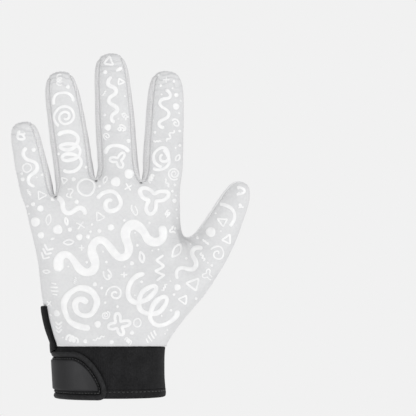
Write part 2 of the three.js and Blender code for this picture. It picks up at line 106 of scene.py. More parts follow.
def points_at(mesh):
    return {key_of(v.co): v for v in mesh.verts}


def count(piece):
    return len(piece.data.vertices), sum(len(p.vertices) - 2 for p in piece.data.polygons)


def pick(kind=None, action="DESELECT"):
    # In edit mode: work with points or edges from now on, and select none or all of them
    if kind:
        bpy.ops.mesh.select_mode(type=kind)
    bpy.ops.mesh.select_all(action=action)


def face_outwards():
    pick(action="SELECT")
    bpy.ops.mesh.normals_make_consistent(inside=False)
    bpy.ops.object.mode_set(mode="OBJECT")


def new_piece(name, mesh):
    data = bpy.data.meshes.new(name)
    mesh.to_mesh(data)
    mesh.free()
    piece = bpy.data.objects.new(name, data)
    bpy.context.collection.objects.link(piece)
    return only(piece)


print("one millimetre is", MM, "m here")


# %% [markdown]
# ## The hand's sizes
#
# A glove is drafted from a few measures of the hand: how wide the knuckles are, how long each finger
# is, how far it leans, and how round the palm is at several heights. The same measures that shaped the
# solids are repeated here, in millimetres.

# %% Measures of the wrist and the palm
CUFF_WIDTH, CUFF_DEPTH, CUFF_HEIGHT, CUFF_WALL = 74, 46, 33, 2
CUFF_ROUNDNESS = 2.3
SEAM = 0.3
PALM_HEIGHT, PALM_DEPTH, KNUCKLE_DEPTH = 112, 36, 31
WRIST_OVERHANG = 0.9
GUSSET_OVERLAP = 3.4  # the gusset's foot hangs over the band as far as the strap
FRONT_LIFT = 1.8  # the band's upper edge rides up a little in the middle of the palm side
FOOT_TAPER = 1.9  # its foot is drawn in this much on the little-finger side
WEB_SLOPE = 7  # the back of a web lies this much lower than its front
WEB_SAG = 0.2  # and its floor this share of that slope
WEB_PINCH = 0.72  # a web is this share as thick as the palm beside it
FINGER_CURL = 9
THENAR_BULGE = 18
KNUCKLE_SHIFT = -5.2
SIDE_INSET = 0.045
palm_foot = CUFF_HEIGHT + SEAM
palm_top = CUFF_HEIGHT + PALM_HEIGHT
wrist_edge = CUFF_WIDTH / 2 + WRIST_OVERHANG
print("palm from", round(palm_foot, 1), "to", palm_top, "mm high; wrist", round(2 * wrist_edge, 1), "mm wide")

# %% Measures of the fingers and the thumb
# Lean and roll are in degrees; drop and web are how far the foot and the web beyond it lie down
Finger = namedtuple("Finger", "name length width foot depth lean roll drop web")
FINGERS = [
    Finger("little", 53.8, 19.6, 22.2, 17, -11.4, -11, 14, 11.5),
    Finger("ring", 77.8, 23.2, 26.6, 18.5, -8.2, 6, 4.5, -0.5),
    Finger("middle", 85.2, 23.8, 29.8, 19.5, -3.8, 4, 0, 1.6),
    Finger("index", 76.6, 23.8, 26.6, 19, 2.3, 12, 3.5, 3.5),
]
PANEL_SPREAD = 18  # degrees that the palm and the back reach further round a finger's sides
FINGER_TIP = 1.02  # the point that closes a finger, as a share of its length
THUMB_LENGTH, THUMB_WIDTH, THUMB_DEPTH = 71, 23.6, 22
THUMB_LEAN, THUMB_FORWARD, THUMB_ROLL = 31, 18, 31
THUMB_TIP = (1.0, -0.01, 1.02)  # along, beside, forward
# along, width, depth, share of the roll
FINGER_SECTIONS = [
    (0.08, 1.08, 1.06, 0.35),
    (0.34, 1.06, 1.02, 0.85),
    (0.6, 1.0, 0.97, 1),
    (0.84, 0.93, 0.88, 1),
    (0.965, 0.69, 0.62, 1),
]
# along, beside, width, depth, forward, turn, share of the roll
THUMB_SECTIONS = [
    (0.07, 0.03, 1.66, 1.5, 0.3, 44, 0.15),
    (0.29, 0.045, 1.3, 1.22, 0.55, 25, 0.6),
    (0.54, 0.028, 1.04, 1.0, 0.8, 4, 1),
    (0.76, 0.009, 0.88, 0.86, 0.93, 0, 1),
    (0.93, -0.01, 0.59, 0.57, 1.0, -4, 1),
]
COLUMNS = 2 * len(FINGERS) + 1
knuckle_width = sum(finger.foot for finger in FINGERS)
knuckle_left = KNUCKLE_SHIFT - knuckle_width / 2
knuckle_right = KNUCKLE_SHIFT + knuckle_width / 2
print("knuckles", round(knuckle_width, 1), "mm wide")
print("middle fingertip at", round(palm_top + FINGERS[2].length, 1), "mm")

# %% How round the palm is at several heights
# up, little side, thumb side, thenar, front, back, muscle, hollow, pinch
PALM_ROWS = [
    (0.12, 0.19, 0.1, 0.36, 0.6, 0.58, 0.04, 0.02, 0.2),
    (0.27, 0.33, 0.4, 1.0, 0.53, 0.49, 0.15, 0.05, 0.75),
    (0.46, 0.42, 0.6, 0.7, 0.47, 0.43, 0.18, 0.08, 0.3),
    (0.67, 0.6, 0.94, 0.06, 0.43, 0.43, 0.06, 0.06, 0),
    (0.85, 0.85, 1.0, 0, 0.42, 0.45, 0, 0.02, 0),
]
# A round of eight points shrinks by this much when it is smoothed, so it is drawn larger first
RING_SHRINK = (2 + math.cos(math.pi / 4)) / 3
PALM_SHRINK = 0.98
print("rows between the wrist and the knuckles:", len(PALM_ROWS))


# %% [markdown]
# ## Rings round the palm
#
# The palm is a sleeve. Each height has a ring of points: nine across the front, one at the thumb side,
# nine across the back and one at the little-finger side. The lengthwise lines are spaced like the
# fingers that they lead to, so the fingers can grow straight out of the top ring.

# %% Place the points of a palm ring
def lerp(a, b, t):
    return a + (b - a) * t


def back_of(column):
    return 2 * COLUMNS - column


def column_shares():
    shares = [0.0]
    for finger in FINGERS:
        last = shares[-1]
        shares += [last + finger.foot / knuckle_width / 2, last + finger.foot / knuckle_width]
    shares[0] += SIDE_INSET
    shares[-1] -= SIDE_INSET
    return shares


SHARES = column_shares()


def edge_drop(column):
    if column == 0:
        return FINGERS[0].drop
    finger = FINGERS[math.ceil(column / 2) - 1]
    return finger.drop if column % 2 else finger.web


def palm_ring(up, left, right, front, back, muscle=0.0, hollow=0.0, pinch=0.0):
    middle, half = (left + right) / 2, (right - left) / 2 / PALM_SHRINK
    fronts, backs = [], []
    for column in range(COLUMNS):
        share = 2 * SHARES[column] - 1
        crown = max(0, 1 - abs(share) ** CUFF_ROUNDNESS) ** (1 / CUFF_ROUNDNESS)
        bulge = muscle * max(0, share) * 1.5
        dip = hollow * math.cos(share * math.pi / 2)
        z = lerp(palm_foot, palm_top - edge_drop(column), up)
        fronts.append(Vector((middle + half * share, -(front * crown + bulge - dip) / PALM_SHRINK, z)))
        backs.append(Vector((middle + half * share, back * crown / PALM_SHRINK, z)))
    left_point = Vector((middle - half, 0, lerp(palm_foot, palm_top - edge_drop(0), up)))
    right_point = Vector((middle + half, 0, lerp(palm_foot, palm_top - edge_drop(COLUMNS - 1), up)))
    fronts[0] = fronts[0].lerp(left_point, pinch)
    backs[0] = backs[0].lerp(left_point, pinch)
    return [p * MM for p in [*fronts, right_point, *reversed(backs), left_point]]


def palm_rings():
    wrist_depth = CUFF_DEPTH / 2 + WRIST_OVERHANG
    rings = [palm_ring(0, -wrist_edge, wrist_edge, wrist_depth, wrist_depth)]
    for point in rings[0]:
        point.z += FRONT_LIFT * MM * max(0, -point.y / MM / wrist_depth)
    for up, little, thumb, thenar, *depths, pinch in PALM_ROWS:
        left = lerp(-wrist_edge, knuckle_left, little)
        right = lerp(wrist_edge, knuckle_right, thumb) + THENAR_BULGE * thenar
        rings.append(palm_ring(up, left, right, *[depth * PALM_DEPTH for depth in depths], pinch))
    top = palm_ring(1, knuckle_left, knuckle_right, KNUCKLE_DEPTH / 2, KNUCKLE_DEPTH / 2)
    for column in range(COLUMNS):
        behind = top[back_of(column)]
        web = column % 2 == 0 and 0 < column < COLUMNS - 1
        behind.z -= WEB_SLOPE * MM * (1 if web else 0.7 if column % 2 else 0.5)
        if web:
            top[column].y *= WEB_PINCH
            behind.y *= WEB_PINCH
    return [*rings, top]


RINGS = palm_rings()
RING_SIZE = len(RINGS[0])
print(len(RINGS), "rings of", RING_SIZE, "points")


# %% [markdown]
# ## The sleeve
#
# The shell could be sculpted, or drawn as one surface. Here it is a cage of few faces, extruded step by
# step, because a cage keeps every measure and says which face belongs to which panel of cloth. An open
# cylinder has the right number of sides, and its two ends become the first two rings. The top edge is
# then extruded once for each height above, and every new edge is laid on its own ring. Each face
# remembers its panel as its material number.

# %% Extrude the sleeve upwards
PANELS = ["palm_panel", "back_panel", "fourchette_little_ring", "fourchette_ring_middle",
          "fourchette_middle_index", "wrist_gusset"]
PALM, BACK, FOURCHETTE, GUSSET = 0, 1, 2, 5
GUSSET_ROWS = 2


def edges_round(mesh, ring):
    at = points_at(mesh)
    points = [at[key_of(p)] for p in ring]
    ends = zip(points, points[1:] + points[:1])
    return [next(e for e in a.link_edges if e.other_vert(a) == b) for a, b in ends]


def extrude_edges(piece, ring):
    edit_mesh(piece)
    pick("EDGE")
    mesh = bmesh.from_edit_mesh(piece.data)
    for edge in edges_round(mesh, ring):
        edge.select_set(True)
    bpy.ops.mesh.extrude_edges_move()


def extrude_ring(piece, ring, new_ring, panels):
    extrude_edges(piece, ring)
    mesh = bmesh.from_edit_mesh(piece.data)
    old = {key_of(p): k for k, p in enumerate(ring)}
    moved = {old[key_of(point.co)]: point for point in mesh.verts if point.select}
    for k, point in moved.items():
        point.co = new_ring[k]
    for face in {f for point in moved.values() for f in point.link_faces}:
        ks = sorted(k for k, v in moved.items() if v in face.verts)
        if len(ks) == 2:
            face.material_index = panels[ks[1] if ks == [0, len(ring) - 1] else ks[0]]
    bmesh.update_edit_mesh(piece.data)


def sleeve_panels(row):
    # Front, back, and the two columns on the little-finger side, which are the gusset low down
    return [PALM] * COLUMNS + [BACK] * COLUMNS + ([GUSSET] * 2 if row < GUSSET_ROWS else [BACK, PALM])


def round_angle(place, middle=0.0):
    return math.atan2(place.y, place.x - middle)


start_fresh()
bpy.ops.mesh.primitive_cylinder_add(vertices=RING_SIZE, radius=0.04, depth=0.02, end_fill_type="NOTHING")
hand = name_new("glove_hand")
for panel in PANELS:
    hand.data.materials.append(bpy.data.materials.new(panel + "_mark"))
mesh = edit_mesh(hand)
rims = [sorted((v for v in mesh.verts if (v.co.z > 0) == upper), key=lambda v: round_angle(v.co))
        for upper in (False, True)]
for rim, ring in zip(rims, RINGS):
    middle = (ring[COLUMNS].x + ring[-1].x) / 2
    for point, place in zip(rim, sorted(ring, key=lambda p: round_angle(p, middle))):
        point.co = place
at = points_at(mesh)
for k, mark in enumerate(sleeve_panels(0)):
    corners = {at[key_of(RINGS[0][n % RING_SIZE])] for n in (k, k + 1)}
    for face in mesh.faces:
        if corners <= set(face.verts):
            face.material_index = mark
bmesh.update_edit_mesh(hand.data)
for row in range(1, len(RINGS) - 1):
    extrude_ring(hand, RINGS[row], RINGS[row + 1], sleeve_panels(row))
print("sleeve:", len(bmesh.from_edit_mesh(hand.data).faces), "faces")


# %% [markdown]
# ## Webs and fingers
#
# Between two fingers the front and the back edge are joined by one new edge with a point in its middle:
# the floor of the web. That closes a ring of eight points at the foot of each finger. A finger is five
# extrusions of that ring, each a little rounder than the last, and its end is pulled together to one
# point. Half of the last edges are dissolved, which leaves four clean faces round the tip.

# %% Helpers for webs and fingers
def finger_frame(number):
    # Where a finger starts, the way it points, and the way to its little-finger side
    lean = math.radians(FINGERS[number].lean)
    foot = Vector((RINGS[-1][2 * number + 1].x / MM, 0, palm_top - FINGERS[number].drop))
    return foot, Vector((math.sin(lean), 0, math.cos(lean))), Vector((-math.cos(lean), 0, math.sin(lean)))


def finger_place(number, along):
    foot, line, _ = finger_frame(number)
    return foot + line * along * FINGERS[number].length + Vector((0, -FINGER_CURL * along * along, 0))


def on_finger(number, place):
    # How far up a finger a place lies, and how far beside its middle line
    foot, line, side = finger_frame(number)
    return (place - foot).dot(line), abs((place - foot).dot(side))


def add_web(piece, front, back, floor):
    mesh = edit_mesh(piece)
    pick()
    at = points_at(mesh)
    for place in (front, back):
        at[key_of(place)].select_set(True)
    bpy.ops.mesh.edge_face_add()
    bpy.ops.mesh.subdivide(number_cuts=1)
    mesh = bmesh.from_edit_mesh(piece.data)
    halfway = (front + back) / 2
    min(mesh.verts, key=lambda v: (v.co - halfway).length).co = floor
    bmesh.update_edit_mesh(piece.data)


def round_ring(centre, side, width, depth, roll=0, spread=0):
    ring = []
    for k in range(8):
        even = k * math.pi / 4
        turn = even + math.radians(roll) - math.radians(spread) * math.sin(2 * even)
        across = side * (math.cos(turn) * width / 2 / RING_SHRINK)
        ring.append((centre + across + Vector((0, -math.sin(turn) * depth / 2 / RING_SHRINK, 0))) * MM)
    return ring


def close_tip(piece, ring, tip):
    extrude_edges(piece, ring)
    bpy.ops.mesh.select_mode(type="VERT")
    bpy.ops.mesh.merge(type="CENTER")
    mesh = bmesh.from_edit_mesh(piece.data)
    centre = next(v for v in mesh.verts if v.select)
    centre.co = tip * MM
    at = points_at(mesh)
    odd = {key_of(ring[k]): k for k in (1, 3, 5, 7)}
    pick()
    for place in odd:
        next(e for e in centre.link_edges if e.other_vert(centre) == at[place]).select_set(True)
    bmesh.update_edit_mesh(piece.data)
    bpy.ops.mesh.dissolve_edges(use_verts=False)
    mesh = bmesh.from_edit_mesh(piece.data)
    for face in points_at(mesh)[key_of(tip * MM)].link_faces:
        k = next(odd[key_of(v.co)] for v in face.verts if key_of(v.co) in odd)
        face.material_index = PALM if k < 4 else BACK
    bmesh.update_edit_mesh(piece.data)


print("a finger is", len(FINGER_SECTIONS), "rings and a tip")

# %% Join the webs and grow the fingers
top = RINGS[-1]
webs = []
for column in range(2, COLUMNS - 1, 2):
    front, back = top[column], top[back_of(column)]
    webs.append(Vector((front.x, (front.y + back.y) / 2, front.z - WEB_SAG * WEB_SLOPE * MM)))
    add_web(hand, front, back, webs[-1])

for number, finger in enumerate(FINGERS):
    first, outermost = 2 * number, number == len(FINGERS) - 1
    ring = [
        top[-1] if number == 0 else webs[number - 1],
        *top[first : first + 3],
        top[COLUMNS] if outermost else webs[number],
        *[top[back_of(column)] for column in (first + 2, first + 1, first)],
    ]
    near = (PALM, BACK) if number == 0 else (FOURCHETTE + number - 1,) * 2
    far = (PALM, BACK) if outermost else (FOURCHETTE + number,) * 2
    sides = [near[0], PALM, PALM, far[0], far[1], BACK, BACK, near[1]]
    for along, wide, deep, rolled in FINGER_SECTIONS:
        new_ring = round_ring(finger_place(number, along), finger_frame(number)[2], wide * finger.width,
                              deep * finger.depth, rolled * finger.roll, rolled * PANEL_SPREAD)
        extrude_ring(hand, ring, new_ring, sides)
        ring = new_ring
    close_tip(hand, ring, finger_place(number, FINGER_TIP))
print("with fingers:", len(bmesh.from_edit_mesh(hand.data).faces), "faces")


# %% [markdown]
# ## The thumb
#
# The thumb leaves the side of the palm. Deleting one point there opens a ring of eight edges across two
# heights, and the thumb grows out of it as the fingers grew out of the top. Its first sections are wide
# and turned, because the muscle at its root runs down towards the wrist.

# %% Open the side and grow the thumb
inner = COLUMNS - 1
mesh = edit_mesh(hand)
pick()
points_at(mesh)[key_of(RINGS[3][COLUMNS])].select_set(True)
bpy.ops.mesh.delete(type="VERT")
ring = [RINGS[4][COLUMNS], *[RINGS[row][inner] for row in (4, 3, 2)],
        RINGS[2][COLUMNS], *[RINGS[row][back_of(inner)] for row in (2, 3, 4)]]
start = (ring[0] + ring[4]) / 2 / MM
lean = math.radians(THUMB_LEAN)
line, beside = Vector((math.sin(lean), 0, math.cos(lean))), Vector((math.cos(lean), 0, -math.sin(lean)))


def thumb_place(along, aside, forward):
    return start + (line * along + beside * aside) * THUMB_LENGTH + Vector((0, -forward * THUMB_FORWARD, 0))


for along, aside, wide, deep, forward, turn, rolled in THUMB_SECTIONS:
    turned = lean + math.radians(turn)
    upper = Vector((-math.cos(turned), 0, math.sin(turned)))
    new_ring = round_ring(thumb_place(along, aside, forward), upper, wide * THUMB_WIDTH,
                          deep * THUMB_DEPTH, THUMB_ROLL * rolled)
    extrude_ring(hand, ring, new_ring, [PALM] * 4 + [BACK] * 4)
    ring = new_ring
close_tip(hand, ring, thumb_place(*THUMB_TIP))
edit_mesh(hand)
face_outwards()
print("whole cage:", count(hand), "points and triangles")
by_panel = [sum(1 for p in hand.data.polygons if p.material_index == n) for n in range(len(PANELS))]
print("faces by panel:", dict(zip(PANELS, by_panel)))

# %% Smooth the cage
apply_modifier(hand, "SUBSURF", levels=3, render_levels=3)
print("smoothed:", count(hand))


# %% [markdown]
# ## Seams, gathers and creases
#
# A sewn seam pulls the cloth down into a shallow groove, with a low roll on each side of it. Here the
# points that lie between two panels are the seam. They are pushed in along their normals, and their
# neighbours a little less. Cloth is never quite smooth either, so it is drawn into short puckers at the
# foot of each finger, gathered above the wristband, and softly creased across the palm and the joints.

# %% How high the cloth stands at each place
GROOVE = [0.4, 0.14, -0.07, -0.05]  # depth on the seam, then one, two and three points away
FINGER_JOINTS = [(0.36, 0.35), (0.39, 0.2), (0.69, 0.3)]  # share of the finger's length, depth of the crease


def seam_distance(mesh):
    distance = {v.index: 0 for v in mesh.verts if len({f.material_index for f in v.link_faces}) > 1}
    frontier = list(distance)
    for step in (1, 2, 3):
        around = {e.other_vert(mesh.verts[n]).index for n in frontier for e in mesh.verts[n].link_edges}
        frontier = [n for n in around if n not in distance]
        distance.update((n, step) for n in frontier)
    return distance


def bump(distance, reach):
    return max(0.0, 1 - (distance / reach) ** 2) ** 2


def finger_creases(place):
    total = 0.0
    for number, finger in enumerate(FINGERS):
        along, aside = on_finger(number, place)
        if aside < 0.55 * finger.width and along > 0:
            for joint, depth in FINGER_JOINTS:
                wander = 1.4 * noise.noise(Vector((place.x * 0.12, number * 7.0, joint * 30)))
                total -= depth * bump(abs(along - joint * finger.length + wander), 2.4)
    return total


def palm_creases(place):
    # Puckers that run out from the thumb's web, and the two long lines of a palm
    x, y, z = place
    thumb_web = RINGS[4][COLUMNS] / MM
    reach = math.hypot(x - thumb_web.x, z - thumb_web.z)
    ray = math.atan2(z - thumb_web.z, x - thumb_web.x)
    puckers = 0.55 * bump(max(0.0, reach - 6), 34) * math.sin(ray * 8 + reach * 0.12)
    thenar = (place - Vector((47, y, palm_foot + 18))).length
    life_line = abs(thenar - 35 + 2 * noise.noise(place * 0.05))
    heart_line = abs(z - (palm_foot + 88 + 0.16 * x) + 2.5 * noise.noise(place * 0.04))
    return (puckers, -0.45 * bump(life_line, 3.2) * bump(abs(z - palm_foot - 48), 34),
            -0.3 * bump(heart_line, 2.8) * bump(x + 8, 34))


def crease_height(place, outward):
    x, y, z = place
    height = 0.5 * bump(abs(z - palm_foot - 0.6), 1.9) - 0.3 * bump(abs(z - palm_foot - 3.6), 1.6)
    turn = math.atan2(y * 1.6, x)
    gather = bump(max(0.0, z - palm_foot), 15)
    height += gather * 0.45 * noise.noise(Vector((math.cos(turn) * 7, math.sin(turn) * 7, z * 0.03)))
    for web in webs:
        reach = (place - web / MM).length
        ray = math.atan2(place.z - web.z / MM, place.x - web.x / MM)
        height += 0.3 * bump(max(0.0, reach - 3), 13) * math.sin(ray * 9 + reach * 0.35)
    if outward.y < -0.3:
        for crease in (finger_creases(place), *palm_creases(place)):
            height += crease
    height += 0.4 * noise.noise(place * 0.055) + 0.16 * noise.noise(place * 0.16 + Vector((9, 4, 2)))
    return height


middle_of_palm = Vector((0, -PALM_DEPTH / 2, palm_foot + PALM_HEIGHT / 2))
print("middle of the palm moves", round(crease_height(middle_of_palm, Vector((0, -1, 0))), 2), "mm")

# %% Press the seams and crease the cloth
mesh = bmesh.new()
mesh.from_mesh(hand.data)
mesh.normal_update()
mesh.verts.ensure_lookup_table()
grooves = seam_distance(mesh)
moves = {}
for point in mesh.verts:
    place = point.co / MM
    lift = crease_height(place, point.normal) * (0.3 if grooves.get(point.index, 9) < 2 else 1)
    if point.index in grooves:
        lift -= GROOVE[grooves[point.index]]
    moves[point.index] = point.normal * lift * MM
for index, move in moves.items():
    mesh.verts[index].co += move
mesh.normal_update()
print("seam points:", sum(1 for step in grooves.values() if step == 0))


# %% Keep the seams as rows for the stitches
def seam_rows(mesh, side, against):
    # Chains of (place, normal, direction into the panel) along the seams between one panel and others
    steps, inward = {}, {}
    for e in mesh.edges:
        marks = [f.material_index for f in e.link_faces]
        if len(marks) == 2 and side in marks and marks[0] != marks[1] and (set(marks) - {side}) <= against:
            face = e.link_faces[marks.index(side)]
            away = (face.calc_center_median() - (e.verts[0].co + e.verts[1].co) / 2).normalized()
            for v in e.verts:
                steps.setdefault(v.index, []).append(e.other_vert(v).index)
                inward[v.index] = inward.get(v.index, Vector()) + away
    chains, unused = [], set(steps)
    while unused:
        chain = []
        here = next((n for n in sorted(unused) if len(steps[n]) == 1), min(unused))
        while here is not None:
            chain.append(here)
            unused.discard(here)
            here = next((n for n in steps[here] if n in unused), None)
        chains.append([(mesh.verts[n].co.copy(), mesh.verts[n].normal.copy(), inward[n].normalized())
                       for n in chain])
    return chains


WALLS = {FOURCHETTE, FOURCHETTE + 1, FOURCHETTE + 2}
SEAM_ROWS = {"palm": seam_rows(mesh, PALM, {BACK} | WALLS), "back": seam_rows(mesh, BACK, WALLS)}
mesh.to_mesh(hand.data)
mesh.free()
print("rows of stitches:", {side: [len(chain) for chain in chains] for side, chains in SEAM_ROWS.items()})

# %% [markdown]
# ## Cutting the panels apart
#
# The one skin is now separated by its material numbers into the panels that a glove maker would cut
# out. Each gets a wall of about a millimetre with Solidify, inwards, so the outside stays where it is.
# The gusset is thicker, with rounded edges, and its foot hangs over the wristband.

# %% Separate and thicken the panels
CLOTH_WALL, GUSSET_WALL = 1, 3

edit_mesh(hand)
pick(action="SELECT")
bpy.ops.mesh.separate(type="MATERIAL")
bpy.ops.object.mode_set(mode="OBJECT")
panels = {}
for piece in [o for o in bpy.context.scene.objects if o.type == "MESH" and o.name.startswith("glove_hand")]:
    mark = piece.data.materials[piece.data.polygons[0].material_index].name
    panel = mark.removesuffix("_mark")
    piece.name = piece.data.name = panel + "_cloth"
    panels[panel] = piece
for panel, piece in panels.items():
    piece.data.materials.clear()
    if panel == "wrist_gusset":
        apply_modifier(piece, "SOLIDIFY", thickness=GUSSET_WALL * MM, offset=0.45, use_even_offset=True)
        apply_modifier(piece, "BEVEL", width=0.7 * MM, segments=3, limit_method="ANGLE",
                       angle_limit=math.radians(50))
        for point in piece.data.vertices:
            point.co.z -= GUSSET_OVERLAP * MM * max(0, 1 - (point.co.z / MM - palm_foot) / 1.6)
    else:
        apply_modifier(piece, "SOLIDIFY", thickness=CLOTH_WALL * MM, offset=-1, use_even_offset=True)
    bpy.ops.object.shade_smooth()
    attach(piece, "root")
    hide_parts(panel)
    print(piece.name, count(piece))

# %% [markdown]
# ### Where the palm creases
#
# Coated cloth wrinkles finely where it bends most: over the fingertips, at the webs and across the
# joints. A number on each point of the palm says how creased it is there, and the material reads it: it
# bumps the wrinkles and darkens their colour as painted shade in the creases.

# %% Mark where the palm creases, for its wrinkles and their painted shade
def creases_and_shade_here(place):
    share = 0.12
    for number, finger in enumerate(FINGERS):
        along, aside = on_finger(number, place)
        if aside < 0.6 * finger.width and along > 0:
            below_tip, from_joint = finger.length - 6 - along, abs(along - 0.37 * finger.length)
            share = max(share, bump(max(0.0, below_tip), 17), 0.5 * bump(from_joint, 7))
    for web in webs + [RINGS[4][COLUMNS]]:
        share = max(share, 0.7 * bump((place - web / MM).length, 24))
    return share


palm_mesh = panels["palm_panel"].data
# The attribute steers both the wrinkle bump and the painted shade that darkens the creases
worn = palm_mesh.attributes.new("worn", "FLOAT", "POINT")
for point in palm_mesh.vertices:
    worn.data[point.index].value = creases_and_shade_here(point.co / MM)
print("worn points:", sum(1 for entry in worn.data if entry.value > 0.3))


# %% [markdown]
# ## The wristband's outline
#
# The wristband is an oval that is a little squarer than an ellipse. Everything black follows it, so one
# helper turns a length round the wrist, a distance off the band and a height into a place. Lengths run
# from the middle of the palm side towards the little finger.

# %% Places round the wristband
def band_outline(steps=720):
    def squarer(v):
        return math.copysign(abs(v) ** (2 / CUFF_ROUNDNESS), v)

    points = []
    for n in range(steps + 1):
        turn = n / steps * 2 * math.pi
        across, deep = -squarer(math.sin(turn)) * CUFF_WIDTH / 2, -squarer(math.cos(turn)) * CUFF_DEPTH / 2
        points.append(Vector((across, deep, 0)))
    lengths = [0.0]
    for a, b in zip(points, points[1:]):
        lengths.append(lengths[-1] + (b - a).length)
    return points, lengths


BAND_POINTS, BAND_LENGTHS = band_outline()
BAND_ROUND = BAND_LENGTHS[-1]


def band_place(length, offset, height):
    wanted = length % BAND_ROUND
    low, high = 0, len(BAND_LENGTHS) - 1
    while high - low > 1:
        middle = (low + high) // 2
        low, high = (middle, high) if BAND_LENGTHS[middle] <= wanted else (low, middle)
    share = (wanted - BAND_LENGTHS[low]) / (BAND_LENGTHS[high] - BAND_LENGTHS[low])
    steps = len(BAND_POINTS) - 1
    before, after = BAND_POINTS[(low - 3) % steps], BAND_POINTS[(high + 3) % steps]
    along = (after - before).normalized()
    place = BAND_POINTS[low].lerp(BAND_POINTS[high], share) + Vector((-along.y, along.x, 0)) * offset
    up = min(1.1, max(0, height / CUFF_HEIGHT))
    place.x += FOOT_TAPER * (1 - up) * min(1, max(0, -place.x / CUFF_WIDTH * 2.4))
    place.z = height + up * FRONT_LIFT * max(0, math.cos(wanted / BAND_ROUND * 2 * math.pi))
    return place * MM


print("wristband:", round(BAND_ROUND, 1), "mm round")


# %% [markdown]
# ## Lofting
#
# The band, hem, strap and edging are all one small outline carried along a path. By hand that is a
# circle whose points are moved to the first outline, then extruded and moved for each step. The ends
# are filled, or bridged to each other where the path closes.

# %% Loft an outline along a path
def fill_end(piece, end):
    pick()
    mesh = bmesh.from_edit_mesh(piece.data)
    at = points_at(mesh)
    for place in end:
        at[key_of(place)].select_set(True)
    mesh.select_flush(True)
    bpy.ops.mesh.edge_face_add()


def bridge_ends(piece, ends):
    pick("EDGE")
    mesh = bmesh.from_edit_mesh(piece.data)
    keys = [{key_of(p) for p in end} for end in ends]
    for edge in mesh.edges:
        corners = {key_of(v.co) for v in edge.verts}
        edge.select_set(any(corners <= end for end in keys))
    bpy.ops.mesh.bridge_edge_loops()


def loft(name, sections, round_path=False):
    start_fresh()
    bpy.ops.mesh.primitive_circle_add(vertices=len(sections[0]), radius=0.01, fill_type="NOTHING")
    piece = name_new(name)
    for point, place in zip(piece.data.vertices, sections[0]):
        point.co = place
    edit_mesh(piece)
    pick(action="SELECT")
    for before, section in zip(sections, sections[1:]):
        order = {key_of(p): k for k, p in enumerate(before)}
        bpy.ops.mesh.extrude_edges_move()
        mesh = bmesh.from_edit_mesh(piece.data)
        for point in mesh.verts:
            if point.select:
                point.co = section[order[key_of(point.co)]]
        bmesh.update_edit_mesh(piece.data)
    if round_path:
        bridge_ends(piece, (sections[0], sections[-1]))
    else:
        fill_end(piece, sections[0])
        fill_end(piece, sections[-1])
    bpy.ops.mesh.select_mode(type="VERT")
    face_outwards()
    return piece


def finish_black(piece, node, angle=60):
    only(piece)
    bpy.ops.object.shade_smooth_by_angle(angle=math.radians(angle))
    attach(piece, "root")
    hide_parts(node)
    print(piece.name, count(piece))
    return piece


print("ready to loft; edges sharper than 50 or 60 degrees stay sharp")

# %% [markdown]
# ## Wristband and hem
#
# The band is knitted elastic. Its wall is drawn as a narrow outline, rounded where it turns over at the
# top, with a slight waist and small ripples where the thread of the hem gathers it. The hem is the same
# band folded up and sewn, so it is thicker and its foot is round.

# %% Loft the wristband and its hem
HEM_HEIGHT, HEM_PROUD = 5.5, 0.4
HEM_TOP = 0.12  # the folded edge stands this far out at its upper end, where the sewing holds it down
AROUND, ROWS_UP = 168, 10
WAIST = 0.45
band_foot = HEM_HEIGHT + SEAM


def ripple(length, height):
    turn = length / BAND_ROUND * 2 * math.pi
    wander = noise.noise(Vector((math.cos(turn) * 6, math.sin(turn) * 6, height * 0.09)))
    pull = 0.16 + 0.22 * bump(abs(height - HEM_HEIGHT), 7) + 0.2 * bump(abs(height - CUFF_HEIGHT), 8)
    return wander * pull


def band_sections(outline):
    return [[band_place(length, offset + ripple(length, z), z) for offset, z in outline]
            for length in [n / AROUND * BAND_ROUND for n in range(AROUND)]]


def waist(z):
    return -WAIST * math.sin(math.pi * (z - band_foot) / (CUFF_HEIGHT - band_foot))


rows = [band_foot + (CUFF_HEIGHT - 0.7 - band_foot) * k / (ROWS_UP - 1) for k in range(ROWS_UP)]
outside = [(waist(z), z) for z in rows]
turned_over = [(-0.1, CUFF_HEIGHT - 0.25), (-0.6, CUFF_HEIGHT + 0.12),
               (-1.4, CUFF_HEIGHT + 0.12), (-1.9, CUFF_HEIGHT - 0.25)]
inside = [(waist(z) - CUFF_WALL, z) for z in reversed(rows)]
band_loft = loft("wristband_knit", band_sections(outside + turned_over + inside), round_path=True)
wristband = finish_black(band_loft, "wristband")

thick = CUFF_WALL + HEM_PROUD
hem_outline = [(0.1, 0.25), (0.36, 0.9), (0.42, 2), (0.36, 3.2), (0.02, 4.15), (0.02, 4.45), (0.16, 4.9),
               (HEM_TOP, 5.35), (0, HEM_HEIGHT), (-CUFF_WALL, HEM_HEIGHT), (-thick, 5.2), (-thick, 3),
               (-thick, 1), (-CUFF_WALL, 0.2), (-1.2, 0), (-0.5, 0)]
hem = finish_black(loft("hem_fold", band_sections(hem_outline), round_path=True), "hem")

# %% [markdown]
# ## The closure strap
#
# On the flat, the strap is a band with a long curve that brings its upper edge down to a rounded tab
# end. The edging is a rolled strip sewn over its raw edge all the way round. The strap's own cloth and
# the rubber patch lie inside the edging, so both use the same line, drawn in by a margin.

# %% Draw the strap on the flat
STRAP_HEIGHT, STRAP_WALL, STRAP_DROP, STRAP_LENGTH = 30.8, 1.2, 0.9, 92
TAB_END, TAB_SHOULDER, TAB_CORNER = 1.4, 22, 6
EDGING_WIDTH, EDGING_WALL = 3.8, 1.8
PATCH_WALL, PATCH_LENGTH, PATCH_MARGIN, PATCH_RISE = 0.8, 60, 1.5, 0.8
STRAP_SEAT = HEM_PROUD + SEAM
strap_foot, strap_head, strap_end = -STRAP_DROP, STRAP_HEIGHT - STRAP_DROP, TAB_END + STRAP_LENGTH


def bezier(points, steps):
    line = []
    for n in range(steps + 1):
        layer = [Vector(p) for p in points]
        while len(layer) > 1:
            layer = [a.lerp(b, n / steps) for a, b in zip(layer, layer[1:])]
        line.append(layer[0])
    return line


